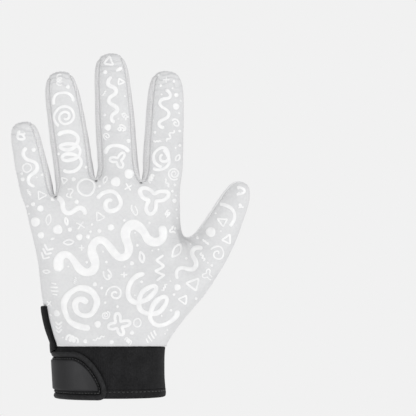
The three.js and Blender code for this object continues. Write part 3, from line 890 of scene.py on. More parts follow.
def strap_outline():
    shoulder, round_end = (TAB_END + TAB_SHOULDER, strap_head), (TAB_END, strap_foot + TAB_CORNER)
    straight_end = (TAB_END + TAB_CORNER, strap_foot)
    upper = bezier([(strap_end, strap_head), shoulder], 42)
    curve = bezier([shoulder, (TAB_END + TAB_SHOULDER * 0.45, strap_head - STRAP_HEIGHT * 0.04),
                    (TAB_END, strap_foot + TAB_CORNER + STRAP_HEIGHT * 0.2), round_end], 40)
    corner = bezier([round_end, (TAB_END, strap_foot), straight_end], 14)
    lower = bezier([straight_end, (strap_end, strap_foot)], 50)
    return upper + curve[1:] + corner[1:] + lower[1:]


def drawn_in(outline, distance):
    line = []
    for n, point in enumerate(outline):
        before, after = outline[max(0, n - 1)], outline[min(len(outline) - 1, n + 1)]
        along = (after - before).normalized()
        line.append(Vector((point.x - along.y * distance, point.y + along.x * distance)))
    return line


strap_line = strap_outline()
print("strap outline:", len(strap_line), "points")

# %% Loft the rolled edging
EDGING_OUTLINE = [(0.03, 0), (0, 0.6), (0.05, 1.12), (0.17, 1.55), (0.36, EDGING_WALL), (0.56, 1.72),
                  (0.74, 1.4), (0.87, 0.95), (0.96, 0.55), (0.99, 0)]
edging_sections = []
for n, (outer, inner) in enumerate(zip(strap_line, drawn_in(strap_line, EDGING_WIDTH))):
    wander = 0.1 * noise.noise(Vector((n * 0.21, 3, 8)))
    flats = [(outer.lerp(inner, share), lift * (1 + wander)) for share, lift in EDGING_OUTLINE]
    edging_sections.append([band_place(flat.x, STRAP_SEAT + lift, flat.y) for flat, lift in flats])
edging = finish_black(loft("strap_rolled_edging", edging_sections), "strap_edging")


# %% Loft the strap's cloth and its patch
STATIONS = 64
PATCH_TOP = STRAP_WALL + SEAM + PATCH_WALL


def crossing(line, length):
    for a, b in zip(line, line[1:]):
        if (a.x - length) * (b.x - length) <= 0 and a.x != b.x:
            return lerp(a.y, b.y, (length - a.x) / (b.x - a.x))
    return line[-1].y


def plate_sections(margin, end, profile, rise=0.0):
    line = drawn_in(strap_line, margin)
    turn = min(range(len(line)), key=lambda n: line[n].x)
    upper, lower = line[: turn + 1], line[turn:]
    sections = []
    for n in range(STATIONS + 1):
        share = n / STATIONS
        length = lerp(line[turn].x + 0.05, end, share * share * 0.75 + share * 0.25)
        low = max(crossing(lower, length), crossing(lower, strap_end) + rise)
        high = max(crossing(upper, length), low + 0.3)
        fade = min(1, (n + 0.4) / 3, (STATIONS - n + 0.4) / 3)
        sections.append([band_place(length, STRAP_SEAT + lift * (fade if lift > 0.5 else 1),
                                    lerp(low, high, across)) for across, lift in profile])
    return sections


cloth_profile = [(0, 0), (0, 1.1)] + [(k / 8, STRAP_WALL) for k in range(1, 8)] + [(1, 1.1), (1, 0)]
cloth_sections = plate_sections(EDGING_WIDTH + SEAM, strap_end, cloth_profile)
strap_cloth = finish_black(loft("strap_cloth", cloth_sections), "strap", 50)
patch_profile = [(0, STRAP_WALL + 0.1), (0, PATCH_TOP - 0.3), (0.02, PATCH_TOP - 0.06)]
patch_profile += [(0.06 + 0.88 * k / 12, PATCH_TOP) for k in range(13)]
patch_profile += [(0.98, PATCH_TOP - 0.06), (1, PATCH_TOP - 0.3), (1, STRAP_WALL + 0.1)]
patch_end = TAB_END + PATCH_LENGTH
patch_sections = plate_sections(EDGING_WIDTH + PATCH_MARGIN, patch_end, patch_profile, PATCH_RISE)
patch = finish_black(loft("strap_rubber_patch", patch_sections), "strap_patch", 50)

# %% [markdown]
# ## Stitches
#
# Thread shows as a row of short raised dashes. One dash is modelled: a small sphere, stretched. It is
# then copied along each row, turned to the row and laid on the cloth. All the dashes of a row are one
# mesh, so the row is one piece.

# %% Model one stitch and copy it along a row
STITCH_PITCH, STITCH_INSET = 2.7, 1.5


def one_stitch():
    start_fresh()
    bpy.ops.mesh.primitive_uv_sphere_add(segments=6, ring_count=4, radius=0.5 * MM)
    stitch = name_new("one_stitch")
    edit_mesh(stitch)
    pick(action="SELECT")
    bpy.ops.transform.rotate(value=math.pi / 2, orient_axis="Y", center_override=(0, 0, 0))
    bpy.ops.object.mode_set(mode="OBJECT")
    return stitch


def along_row(row, pitch, inset=0.0):
    # Even steps along a chain of (place, normal, inward), each as place, direction and normal
    line = [(place + inward * inset, normal) for place, normal, inward in row]
    marks, left = [], pitch / 2
    for (a, up), (b, up_next) in zip(line, line[1:]):
        step = (b - a).length
        while left < step:
            share = left / step
            marks.append((a.lerp(b, share), (b - a).normalized(), up.lerp(up_next, share).normalized()))
            left += pitch
        left -= step
    return marks


def sew(name, marks, length, thickness, lift, rest=None):
    mesh = bmesh.new()
    tree = BVHTree.FromObject(rest, bpy.context.evaluated_depsgraph_get()) if rest else None
    for place, direction, up in marks:
        if tree:
            found, normal, _, _ = tree.find_nearest(place + up * MM)
            if found is None or (found - place).length > 2 * MM:
                continue
            place, up = found, normal
        side = up.cross(direction).normalized()
        ahead = side.cross(up).normalized()
        before = len(mesh.verts)
        mesh.from_mesh(STITCH.data)
        mesh.verts.ensure_lookup_table()
        for point in mesh.verts[before:]:
            x, y, z = point.co
            point.co = (place + ahead * x * length + side * y * thickness
                        + up * (z * thickness * 0.8 + lift * MM))
    row = new_piece(name, mesh)
    bpy.ops.object.shade_smooth()
    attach(row, "root")
    print(name, len(marks), "stitches", count(row))
    return row


STITCH = one_stitch()
print("one stitch:", count(STITCH), "points and triangles")


# %% Sew the panels
def sew_panel(side):
    marks = [m for row in SEAM_ROWS[side] for m in along_row(row, STITCH_PITCH * MM, STITCH_INSET * MM)]
    return sew(side + "_stitches", marks, 2.0, 0.42, 0.04, panels[side + "_panel"])


palm_thread = sew_panel("palm")
back_thread = sew_panel("back")

# %% [markdown]
# ### Tacks at the webs
#
# The foot of a web takes the most strain, so the machine goes back and forth there, across the seam. The
# bar is sewn in dark grey thread: painted shade for the dark spot at the foot of each web. Five stitches
# laid side by side, pointing along the seam, make it; they take the nearest point of the palm's own seam
# in front of each web.

# %% Tack the foot of each web
TACKS = 5
seam_points = [mark for row in SEAM_ROWS["palm"] for mark in row]
tack_marks = []
for web in webs:
    in_front = web - Vector((0, 9 * MM, 0))
    place, normal, inward = min(seam_points, key=lambda mark: (mark[0] - in_front).length)
    tack_marks += [(place + inward * (0.5 * k - 1.4) * MM, normal.cross(inward), normal)
                   for k in range(TACKS)]
web_tacks = sew("web_tacks", tack_marks, 2.0, 0.6, 0.1)


# %% Sew the band and the strap
HEM_SEAM_HEIGHT = 4.3


def band_row(line, offset, pitch):
    chain = []
    for length, height in line:
        here = band_place(length, offset, height)
        out = (band_place(length, offset + 1, height) - here).normalized()
        chain.append((here, out, Vector()))
    return along_row(chain, pitch * MM)


def strap_column(length):
    # A row of stitches straight up the strap
    line = [(length, lerp(strap_foot + 6, strap_head - 6, t / 20)) for t in range(21)]
    return band_row(line, STRAP_SEAT + STRAP_WALL, 2.3)


round_line = [(n / 360 * BAND_ROUND, HEM_SEAM_HEIGHT) for n in range(361)]
hem_thread = sew("hem_stitches", band_row(round_line, 0.22, 2.9), 2.1, 0.55, 0.06)
edging_seam = [(p.x, p.y) for p in drawn_in(strap_line, EDGING_WIDTH + PATCH_MARGIN / 2)]
strap_thread = sew("strap_stitches", band_row(edging_seam, STRAP_SEAT + STRAP_WALL, 2.1), 1.4, 0.55, 0.1)
end_marks = strap_column(strap_end - 2.5) + strap_column(strap_end - 9)
end_thread = sew("strap_end_stitches", end_marks, 1.6, 0.5, 0.05)

# %% [markdown]
# ## The palm's print
#
# The tacky palm carries raised strokes of paler silicone. The pattern here is made of plain signs:
# waves, spirals, rings, clovers, triangles, chevrons, crosses, loops and dots. They could be a picture
# used as a texture, but then they would lie flat. Broad strokes are laid first and smaller ones are
# packed into the space that is left, always in the same order. A stroke is a flat bead, drawn on the
# upright plane in front of the palm and pressed back on to the cloth.

# %% Signs as lines in a circle of radius one
dice = random.Random(11)


def polar(radius, turn):
    return radius * math.cos(turn), radius * math.sin(turn)


def arch(sweep=2.6):
    return [[polar(1, sweep * (t / 24 - 0.5)) for t in range(25)]], False


def clover(petals=3):
    turns = [t / 54 * 2 * math.pi for t in range(54)]
    return [[polar(0.62 + 0.34 * math.cos(petals * a), a) for a in turns]], True


def wave(peaks=3, swing=1.1):
    # A meander: its direction swings evenly to both sides, so that its bends are round
    line = [(0.0, 0.0)]
    for t in range(round(22 * peaks)):
        heading = swing * math.cos((t + 0.5) / 22 * 2 * math.pi)
        line.append((line[-1][0] + math.cos(heading), line[-1][1] + math.sin(heading)))
    half = line[-1][0] / 2
    return [[(x / half - 1, z / half) for x, z in line]], False


def tangle():
    # A thin line that wanders in big loops and comes back on itself, as a pen does when it is tried out
    own = random.Random(dice.random())
    swing = [own.uniform(0.5, 1.0) for _ in range(4)]
    turns = [own.choice((2, 3)), own.choice((1, 2)), own.uniform(0, 6.3), own.uniform(0, 6.3)]
    return [[(0.5 * swing[0] * math.sin(a * turns[0] + turns[2]) + 0.45 * swing[1] * math.cos(a),
              0.45 * swing[2] * math.sin(a * turns[1] + turns[3]) + 0.45 * swing[3] * math.sin(a))
             for a in (0.2 + 5.7 * t / 70 for t in range(71))]], False


print("a wave has", len(wave()[0][0]), "points and a clover", len(clover()[0][0]))


# %% Smaller signs
def zigzag(teeth=5, height=0.34):
    return [[(2 * t / teeth - 1, height * (-1) ** t) for t in range(teeth + 1)]], False


def spiral(turns=2.1):
    steps = int(30 * turns)
    return [[polar(lerp(0.12, 0.95, t / steps), t / 30 * 2 * math.pi) for t in range(steps + 1)]], False


def circle():
    return [[polar(0.9, t / 32 * 2 * math.pi) for t in range(32)]], True


def triangle():
    return [[polar(0.85, a) for a in (math.pi / 2, math.pi * 7 / 6, math.pi * 11 / 6)]], True


def cross():
    return [[(-0.8, 0), (0.8, 0)], [(0, -0.8), (0, 0.8)]], False


def chevrons():
    return [[(-0.55, y - 0.3), (0, y + 0.25), (0.55, y - 0.3)] for y in (-0.5, 0.05, 0.6)], False


def loops(many=3):
    steps = 24 * many
    line = []
    for t in range(steps + 1):
        a = t / 24 * 2 * math.pi
        line.append((1.5 * t / steps - 0.75 - 0.26 * math.sin(a), 0.42 * math.cos(a)))
    return [line], False


def leaf():
    upper, lower = [[(-0.9 + 1.8 * t / 14, s * 0.38 * math.sin(math.pi * t / 14)) for t in range(15)]
                    for s in (1, -1)]
    return [upper + lower[-2:0:-1]], True


def dashes():
    return [[(x - 0.12, -0.5 + abs(x) * 0.3), (x + 0.12, 0.5 - abs(x) * 0.3)]
            for x in (-0.6, -0.2, 0.2, 0.6)], False


print("a spiral has", len(spiral()[0][0]), "points and a leaf", len(leaf()[0][0]))

# %% [markdown]
# ### From line to bead
#
# Each line is cut into even steps and given a width. A ray from the front finds the cloth behind every
# point of the bead, and the bead's top stands a fifth of a millimetre off it. The ends are rounded by
# narrowing the last steps.

# %% Find the cloth behind a line
PALM_TREE = BVHTree.FromObject(panels["palm_panel"], bpy.context.evaluated_depsgraph_get())
STEEPEST = -0.42  # cloth that faces the front less than this gets no print


def on_palm(x, z):
    found, normal, _, _ = PALM_TREE.ray_cast(Vector((x * MM, -0.1, z * MM)), Vector((0, 1, 0)))
    return (found, normal) if found is not None and normal.y < STEEPEST else None


def even_steps(line, closed, step):
    points = [Vector(p) for p in line]
    if closed:
        points.append(points[0])
    total = sum((b - a).length for a, b in zip(points, points[1:]))
    many = max(3, round(total / step))
    result, passed, index = [], 0.0, 0
    for mark in [total * k / many for k in range(many + (0 if closed else 1))]:
        while index < len(points) - 2 and passed + (points[index + 1] - points[index]).length < mark:
            passed += (points[index + 1] - points[index]).length
            index += 1
        size = (points[index + 1] - points[index]).length or 1
        result.append(points[index].lerp(points[index + 1], min(1, (mark - passed) / size)))
    return result, total


def drawn_by_hand(points, closed):
    # A hand wavers a little, and it rounds every corner
    points = [p + Vector([noise.noise(Vector((p.x * 0.11, p.y * 0.11, n))) for n in (3, 9)]) for p in points]
    for _ in range(2):
        points = [p if not closed and k in (0, len(points) - 1) else
                  (points[k - 1] + 2 * p + points[(k + 1) % len(points)]) / 4 for k, p in enumerate(points)]
    return points


print("cloth in the middle of the palm:", [round(v / MM, 1) for v in on_palm(0, 90)[0]], "mm")

# %% Lay a bead
PRINT_HEIGHT = 0.2
BEAD = [(-1, -0.6), (-0.94, 0.65), (-0.75, 1), (0, 1.04), (0.75, 1), (0.94, 0.65), (1, -0.6)]
print_mesh = bmesh.new()


def bead_ring(before, point, after, width, height, end):
    # The outline across a bead at one point, or None where no cloth lies behind it
    along = (after - before).normalized()
    across = Vector((-along.y, along.x))
    bend = (point - before).cross(after - point)
    tight = 0.45 * (after - before).length ** 3 / max(4 * abs(bend), 1e-6)
    uneven = 1 + 0.4 * noise.noise(Vector((point.x * 0.1, point.y * 0.1, width)))
    ring = []
    for share, lift in BEAD:
        aside = share * width / 2 * end * uneven
        if aside * bend > 0:
            aside = math.copysign(min(abs(aside), tight * abs(share)), aside)
        flat = point + across * aside
        hit = on_palm(flat.x, flat.y)
        if not hit:
            return None
        ring.append(print_mesh.verts.new(hit[0] + hit[1] * lift * height * MM * (0.5 + 0.5 * end)))
    return ring


def join_rings(beads, closed):
    if len(beads) < 2:
        return
    size = len(BEAD)
    for a, b in zip(beads, beads[1:] + ([beads[0]] if closed else [])):
        for k in range(size):
            print_mesh.faces.new((a[k], b[k], b[(k + 1) % size], a[(k + 1) % size]))
    if not closed:
        print_mesh.faces.new(beads[0])
        print_mesh.faces.new(list(reversed(beads[-1])))


def lay_bead(line, width, closed, height=PRINT_HEIGHT):
    points, total = even_steps(line, closed, max(0.5, width * 0.2))
    points = drawn_by_hand(points, closed)
    beads = []
    for k, point in enumerate(points):
        before = points[k - 1] if k or closed else point
        after = points[(k + 1) % len(points)] if k + 1 < len(points) or closed else point
        end = 1.0
        if not closed:
            edge = min(k, len(points) - 1 - k) * total / (len(points) - 1)
            end = math.sqrt(max(0.02, 1 - max(0.0, 1 - edge / (width / 2)) ** 2))
        ring = bead_ring(before, point, after, width, height, end)
        if ring:
            beads.append(ring)
        else:
            join_rings(beads, False)
            beads, closed = [], False
    join_rings(beads, closed)


print("a bead has", len(BEAD), "points across and stands", PRINT_HEIGHT, "mm high")

# %% Lay a dot
DOT = [(1.0, -0.6), (0.93, 0.6), (0.7, 1.0), (0.3, 1.15)]


def lay_dot(x, z, radius):
    many = 14 if radius > 1.4 else 9
    levels = []
    for share, lift in DOT:
        ring = []
        for k in range(many):
            a = 2 * math.pi * k / many
            reach = radius * share * (1 + 0.06 * math.sin(3 * a + x))
            hit = on_palm(x + reach * math.cos(a), z + reach * math.sin(a))
            if not hit:
                return
            ring.append(print_mesh.verts.new(hit[0] + hit[1] * lift * PRINT_HEIGHT * MM))
        levels.append(ring)
    for a, b in zip(levels, levels[1:]):
        for k in range(many):
            print_mesh.faces.new((a[k], a[(k + 1) % many], b[(k + 1) % many], b[k]))
    print_mesh.faces.new(levels[-1])
    print_mesh.faces.new(list(reversed(levels[0])))


print("a dot has", len(DOT), "rings")

# %% Broad strokes first
BROAD_HEIGHT = 0.24


def placed(line, x, z, radius, turn):
    c, s = math.cos(turn), math.sin(turn)
    return [(x + radius * (c * u - s * v), z + radius * (s * u + c * v)) for u, v in line]


def up_finger(number, share):
    finger = FINGERS[number]
    lean, along = math.radians(finger.lean), share * finger.length
    foot = RINGS[-1][2 * number + 1].x / MM
    return foot + along * math.sin(lean), palm_top - finger.drop + along * math.cos(lean), math.pi / 2 - lean


# sign, (across, up, turn), radius, width of the stroke
BROAD = [
    (wave(3, 1.5), (1, 99, 0.42), 37, 5.8),
    (spiral(1.75), (-17, 62, 0.4), 16, 3.8),
    (loops(3), (28, 64, -0.8), 21, 3.2),
    (wave(1.5, 1.1), (-27, 126, -0.4), 12, 3.2),
    (clover(), (29, 132, 0.3), 11, 2.6),
    (spiral(1.3), (1, 129, 0.9), 10, 3.2),
    (arch(3.4), (33, 158, -0.5), 7, 2.4),
    (clover(4), (7, 49, 0.2), 8, 2.0),
    (wave(1.5, 1.2), (54, 89, 0.9), 13, 2.8),
    (arch(), (74, 120, 0.5), 9, 2.2),
    (wave(1.5, 1.1), up_finger(0, 0.42), 13, 2.3),
    (loops(3), up_finger(1, 0.3), 15, 2.3),
    (arch(3.4), up_finger(1, 0.72), 7, 2.2),
    (wave(2.5, 1.15), up_finger(2, 0.62), 15, 2.5),
    (arch(), up_finger(2, 0.18), 8, 2.6),
    (spiral(1.5), up_finger(3, 0.25), 8, 2.3),
    (wave(2, 1.2), up_finger(3, 0.66), 13, 2.2),
]
taken = []
for (lines, closed), (x, z, turn), radius, width in BROAD:
    for line in lines:
        stroke = placed(line, x, z, radius, turn)
        lay_bead(stroke, width, closed, BROAD_HEIGHT)
        taken.extend((p.x, p.y, width * 0.5) for p in even_steps(stroke, closed, width * 0.7)[0])
print("broad strokes:", len(BROAD), "with", len(print_mesh.verts), "points")

# %% Smaller signs and dots into the space left
SIGN_GAP, DOT_GAP = 0.55, 1.2
SIGNS = [wave, zigzag, spiral, tangle, triangle, chevrons, loops, leaf, dashes, lambda: wave(2, 1.25),
         lambda: spiral(1.5), clover, cross, circle, tangle]
BIG_SIGNS = [tangle, tangle, tangle, leaf, lambda: clover(4), lambda: loops(4)]


def draw_sign(x, z, radius):
    choices = BIG_SIGNS if radius > 10 else BIG_SIGNS + SIGNS if radius > 7 else SIGNS
    width = lerp(0.95, 1.5, min(1, (radius - 3) / 6)) * dice.uniform(0.8, 1.35)
    lines, closed = dice.choice(choices)()
    turn = dice.uniform(0, 2 * math.pi)
    for line in lines:
        lay_bead(placed(line, x, z, radius * 0.97, turn), width, closed)


def room_for(x, z, radius, spare):
    if any((x - a) ** 2 + (z - b) ** 2 < (radius + r + spare) ** 2 for a, b, r in taken):
        return False
    turns = [k * math.pi / 4 for k in range(8)]
    return all(on_palm(x + radius * math.cos(a), z + radius * math.sin(a)) for a in turns)


def scatter(radius, tries, most, lay):
    left = most
    for _ in range(tries):
        x, z = dice.uniform(-68, 92), dice.uniform(36, 228)
        if left and room_for(x, z, radius, SIGN_GAP if lay is draw_sign else DOT_GAP):
            taken.append((x, z, radius))
            lay(x, z, radius)
            left -= 1


scatter(3.4, 200, 5, lay_dot)
scatter(12, 700, 12, draw_sign)
scatter(8.5, 1200, 40, draw_sign)
scatter(2.3, 200, 9, lay_dot)
scatter(6.2, 2200, 70, draw_sign)
scatter(4.4, 3400, 110, draw_sign)
scatter(3.0, 3600, 130, draw_sign)
for radius in (1.5, 1.0, 0.7):
    scatter(radius, 700, 36, lay_dot)
print("signs and dots:", len(taken))

# %% Finish the print as one piece
palm_print = new_piece("palm_print", print_mesh)
edit_mesh(palm_print)
face_outwards()
bpy.ops.object.shade_smooth()
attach(palm_print, "root")
bpy.data.objects.remove(STITCH)
print("print:", count(palm_print))

# %% [markdown]
# ## Materials
#
# The palm is a coated synthetic: pale grey, finely pebbled and a little tacky, so it shines more than
# cloth. The print on it is whiter and smoother. The back is a matt stretch knit and the walls between
# the fingers an open mesh. The wristband is ribbed elastic, the edging a twill and the patch a moulded
# rubber. Photographs of such cloths could be wrapped round the pieces. Nodes on the object's own
# coordinates are used instead: they need no unwrapping, and as those coordinates are metres, every grain
# and rib has a real size.

# %% Helpers for materials
def put(tree, kind, inputs, output=0, **settings):
    node = tree.nodes.new(kind)
    for key, value in settings.items():
        setattr(node, key, value)
    for key, value in inputs.items():
        if isinstance(value, bpy.types.NodeSocket):
            tree.links.new(value, node.inputs[key])
        else:
            node.inputs[key].default_value = value
    return node.outputs[output]


class Cloth:
    # One material, with the helpers that add nodes to it
    def __init__(self, name, roughness, sheen=0.0, coat=0.0, specular=0.5):
        self.made = bpy.data.materials.new(name)
        self.made.use_nodes = True
        self.tree = self.made.node_tree
        self.shader = self.tree.nodes["Principled BSDF"]
        for key, value in {"Roughness": roughness, "Sheen Weight": sheen, "Coat Weight": coat,
                           "Coat Roughness": 0.35, "Specular IOR Level": specular}.items():
            self.shader.inputs[key].default_value = value
        self.places = self.tree.nodes.new("ShaderNodeTexCoord").outputs["Object"]

    def grain(self, size, detail=2, stretch=(1, 1, 1)):
        # Noise whose features are about "size" millimetres across
        scaled = put(self.tree, "ShaderNodeMapping", {"Vector": self.places, "Scale": stretch})
        noisy = {"Vector": scaled, "Scale": 1 / (size * MM), "Detail": detail}
        return put(self.tree, "ShaderNodeTexNoise", noisy)

    def cells(self, size, randomness=1.0):
        cells = {"Vector": self.places, "Scale": 1 / (size * MM), "Randomness": randomness}
        return put(self.tree, "ShaderNodeTexVoronoi", cells, "Distance")

    def along(self, axis):
        return put(self.tree, "ShaderNodeSeparateXYZ", {"Vector": self.places}, axis)

    def sums(self, how, a, b=0.0):
        return put(self.tree, "ShaderNodeMath", {0: a, 1: b}, operation=how)

    def times(self, a, b):
        return self.sums("MULTIPLY", a, b)

    def ribs(self, along, pitch):
        # Evenly rounded ribs across a coordinate in metres, from 0 to 1
        wave = self.sums("SINE", self.times(along, 2 * math.pi / (pitch * MM)))
        return self.sums("MULTIPLY_ADD", wave, 0.5)

    def shade(self, factor, dark, light, low=0.35, high=0.65):
        spread = put(self.tree, "ShaderNodeMapRange", {"Value": factor, "From Min": low, "From Max": high})
        colours = {0: spread, 6: (*dark, 1), 7: (*light, 1)}
        colour = put(self.tree, "ShaderNodeMix", colours, 2, data_type="RGBA")
        self.tree.links.new(colour, self.shader.inputs["Base Color"])

    def shine(self, factor, least, most):
        rough = put(self.tree, "ShaderNodeMapRange", {"Value": factor, "To Min": least, "To Max": most})
        self.tree.links.new(rough, self.shader.inputs["Roughness"])

    def emboss(self, height, depth):
        bumped = put(self.tree, "ShaderNodeBump", {"Height": height, "Distance": depth * MM, "Strength": 1.0})
        self.tree.links.new(bumped, self.shader.inputs["Normal"])


print("materials so far, all of them marks for the panels:", len(bpy.data.materials))


# %% The palm, its print and its thread
def tacky_palm():
    cloth = Cloth("tacky_palm", 0.55, coat=0.06, specular=0.4)
    cloudy, flecks = cloth.grain(22, 3), cloth.grain(1.6, 3)
    mixed = cloth.sums("MULTIPLY_ADD", flecks, 0.4)
    cloth.tree.links.new(cloth.times(cloudy, 0.6), mixed.node.inputs[2])
    worn = put(cloth.tree, "ShaderNodeAttribute", {}, "Fac", attribute_name="worn")
    waves = {"Vector": cloth.places, "Scale": 75, "Distortion": 9, "Detail": 2, "Detail Scale": 1.3}
    bands = put(cloth.tree, "ShaderNodeTexWave", waves, "Fac", bands_direction="Z")
    wrinkles = cloth.times(cloth.sums("POWER", bands, 4), worn)
    # Painted shade: the colour is darkened along the wrinkles, where shade falls in their creases; the bump
    # below raises them for real
    tone_and_crease_shade = cloth.sums("SUBTRACT", mixed, cloth.times(wrinkles, 0.22))
    cloth.shade(tone_and_crease_shade, (0.655, 0.658, 0.667), (0.735, 0.737, 0.742), 0.3, 0.62)
    pebble, streaks = cloth.cells(0.75), cloth.grain(2.4, 2, (0.35, 1, 2.2))
    fine = cloth.sums("ADD", cloth.times(pebble, 0.03), cloth.times(streaks, 0.09))
    cloth.emboss(cloth.sums("SUBTRACT", fine, cloth.times(wrinkles, 0.22)), 1.0)
    cloth.shine(cloudy, 0.48, 0.62)
    return cloth.made


def print_silicone():
    cloth = Cloth("print_silicone", 0.38, coat=0.1, specular=0.4)
    cloth.shade(cloth.grain(5), (0.86, 0.86, 0.865), (0.92, 0.92, 0.92))
    cloth.emboss(cloth.grain(1.3), 0.035)
    return cloth.made


def thread(name, dark, light, roughness):
    cloth = Cloth(name, roughness, sheen=0.2)
    cloth.shade(cloth.grain(1.5), dark, light)
    cloth.emboss(cloth.grain(0.3), 0.04)
    return cloth.made


palm_cloth, print_cloth = tacky_palm(), print_silicone()
white_thread = thread("white_thread", (0.74, 0.74, 0.75), (0.84, 0.84, 0.84), 0.6)
black_thread = thread("black_thread", (0.014, 0.014, 0.015), (0.03, 0.03, 0.032), 0.5)
# Dark grey thread for the web tacks: painted shade for the dark spot at the foot of each web
grey_thread = thread("grey_thread", (0.14, 0.14, 0.145), (0.24, 0.24, 0.245), 0.6)
print("palm:", len(palm_cloth.node_tree.nodes), "nodes; print:", len(print_cloth.node_tree.nodes))


# %% The stretch cloths
def white_stretch():
    cloth = Cloth("white_stretch", 0.84, sheen=0.25)
    cloth.shade(cloth.grain(30), (0.83, 0.83, 0.838), (0.855, 0.855, 0.86))
    wales, courses = cloth.ribs(cloth.along("X"), 0.9), cloth.ribs(cloth.along("Z"), 1.2)
    cloth.emboss(cloth.times(wales, courses), 0.12)
    return cloth.made


def fourchette_mesh():
    cloth = Cloth("fourchette_mesh", 0.8, sheen=0.2)
    holes = cloth.cells(1.1, 0.25)
    # Painted shade: the walls get a grey well below the white back, for the shade on cloth that faces
    # sideways between the fingers; the darker cells are the mesh's own holes
    cloth.shade(holes, (0.52, 0.52, 0.53), (0.72, 0.72, 0.725), 0.1, 0.5)
    cloth.emboss(holes, 0.12)
    return cloth.made


stretch, mesh_cloth = white_stretch(), fourchette_mesh()
print("stretch:", len(stretch.node_tree.nodes), "nodes; mesh:", len(mesh_cloth.node_tree.nodes))


# %% The black knit, the twill edging and the rubber
def black_knit(name, dark, light, pitch, depth):
    cloth = Cloth(name, 0.9, sheen=0.03, specular=0.2)
    x, y, z = (cloth.along(axis) for axis in "XYZ")
    turn = cloth.sums("ARCTAN2", cloth.times(y, CUFF_WIDTH / CUFF_DEPTH), x)
    round_band = cloth.times(turn, BAND_ROUND / (2 * math.pi) * MM)
    loops_up = cloth.ribs(z, pitch * 0.72)
    knit = cloth.times(cloth.ribs(round_band, pitch), cloth.sums("MULTIPLY_ADD", loops_up, 0.5))
    fuzz, patchy = cloth.grain(1.1, 4), cloth.grain(7, 3)
    blend = cloth.sums("ADD", cloth.times(fuzz, 0.6), cloth.times(patchy, 0.4))
    cloth.shade(blend, dark, light, 0.3, 0.68)
    cloth.emboss(cloth.sums("ADD", knit, fuzz), depth)
    return cloth.made


def black_edging():
    cloth = Cloth("black_edging", 0.66, sheen=0.04, specular=0.28)
    x, z = (cloth.along(axis) for axis in "XZ")
    twill = cloth.ribs(cloth.sums("ADD", x, z), 0.9)
    cloth.shade(cloth.grain(2.5, 3), (0.0065, 0.0065, 0.007), (0.016, 0.016, 0.0175))
    cloth.emboss(twill, 0.1)
    return cloth.made


def dark_rubber():
    cloth = Cloth("dark_rubber", 0.5, specular=0.4)
    cloth.shade(cloth.grain(12, 3), (0.005, 0.005, 0.0062), (0.0082, 0.0082, 0.01))
    cloth.emboss(cloth.grain(0.6, 3), 0.03)
    cloth.shine(cloth.grain(6, 4), 0.42, 0.6)
    return cloth.made


knit_cloth = black_knit("black_knit", (0.005, 0.005, 0.0055), (0.018, 0.018, 0.019), 1.3, 0.16)
gusset_cloth = black_knit("black_gusset", (0.005, 0.005, 0.0055), (0.012, 0.012, 0.013), 1.0, 0.1)
edging_cloth, rubber = black_edging(), dark_rubber()
print("knit:", len(knit_cloth.node_tree.nodes), "nodes; rubber:", len(rubber.node_tree.nodes))

# %% Give each piece its material
dressed = {
    "printed_palm": [(panels["palm_panel"], palm_cloth), (palm_print, print_cloth),
                     (palm_thread, white_thread)],
    "stretch_cloth": [(panels["back_panel"], stretch), (back_thread, white_thread), (web_tacks, grey_thread)]
                     + [(panels[name], mesh_cloth) for name in PANELS if name.startswith("fourchette")],
    "black_elastic": [(panels["wrist_gusset"], gusset_cloth), (wristband, knit_cloth), (hem, knit_cloth),
                      (strap_cloth, knit_cloth), (hem_thread, black_thread), (end_thread, black_thread)],
    "edging": [(edging, edging_cloth), (strap_thread, black_thread)],
    "patch_rubber": [(patch, rubber)],
}
for slot, pieces in dressed.items():
    for piece, cloth in pieces:
        piece.data.materials.clear()
        piece.data.materials.append(cloth)
    print(slot, [piece.name for piece, _ in pieces])
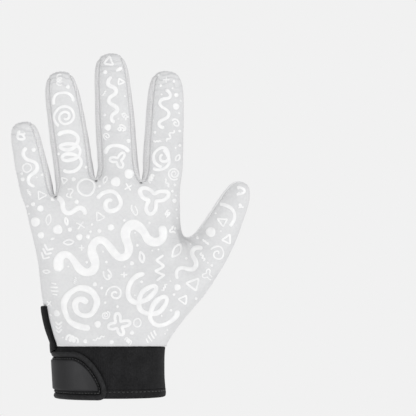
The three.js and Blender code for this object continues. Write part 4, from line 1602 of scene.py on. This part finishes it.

# %% [markdown]


# %% [markdown]
# ## Camera and light
#
# The picture was taken straight at the palm from some way off, with the middle of the picture a little
# to the thumb side and above the palm. The strongest light stands high on the thumb side, almost beside
# the glove, so the other edge of each finger falls into shade. A low one on the left in front lifts the
# palm and the strap, one behind lights the back, and the pale room fills the rest. All are wide, because
# a wide light gives a shadow a soft edge.

# %% Camera
PICTURE_WIDTH = 0.2787
DISTANCE = 1.5
AIM = Vector((0.0657, 0, 0.126))
camera_data = bpy.data.cameras.new("camera")
camera = bpy.data.objects.new("camera", camera_data)
bpy.context.collection.objects.link(camera)
camera.location = AIM + Vector((0, -DISTANCE, 0))
camera.rotation_euler = (math.radians(90), 0, 0)
camera_data.lens = camera_data.sensor_width * DISTANCE / PICTURE_WIDTH
bpy.context.scene.camera = camera
print("lens", round(camera_data.lens, 1), "mm")

# %% Lights
LIT_POINT = Vector((0.0, 0.0, 0.12))


def softbox(name, place, size, power):
    lamp = bpy.data.lights.new(name, "AREA")
    lamp.size = size
    lamp.energy = power
    box = bpy.data.objects.new(name, lamp)
    bpy.context.collection.objects.link(box)
    box.location = place
    box.rotation_euler = (Vector(place) - LIT_POINT).to_track_quat("Z", "Y").to_euler()
    print(name, power, "W from", place)


softbox("key_light", (1.1, -0.65, 0.8), 0.6, 6.8)
softbox("low_light", (-0.75, -1.05, 0), 0.6, 4.1)
softbox("back_light", (-0.2, 1.5, 0.8), 1.0, 8)

# %% Floor and room
start_fresh()
bpy.ops.mesh.primitive_plane_add(size=12, location=(0, -3.9, -0.22))
floor = name_new("studio_floor")
floor_paint = Cloth("pale_floor", 0.7)
floor_paint.shade(floor_paint.grain(400), (0.86, 0.86, 0.86), (0.88, 0.88, 0.88))
floor_paint.shader.inputs["Emission Color"].default_value = (1, 1, 1, 1)
floor_paint.shader.inputs["Emission Strength"].default_value = 0.22
floor.data.materials.append(floor_paint.made)

world = bpy.data.worlds.new("studio")
bpy.context.scene.world = world
world.use_nodes = True
tree = world.node_tree
tree.nodes["Background"].inputs["Color"].default_value = (0.88, 0.88, 0.88, 1)
fill = put(tree, "ShaderNodeBackground", {"Color": (1, 1, 1, 1), "Strength": 0.57})
seen = put(tree, "ShaderNodeLightPath", {}, "Is Camera Ray")
room = put(tree, "ShaderNodeMixShader", {0: seen, 1: fill, 2: tree.nodes["Background"].outputs[0]})
tree.links.new(room, tree.nodes["World Output"].inputs["Surface"])
bpy.context.scene.view_settings.view_transform = "Standard"
print("floor at", round(floor.location.z, 2), "m; materials:", len(bpy.data.materials))
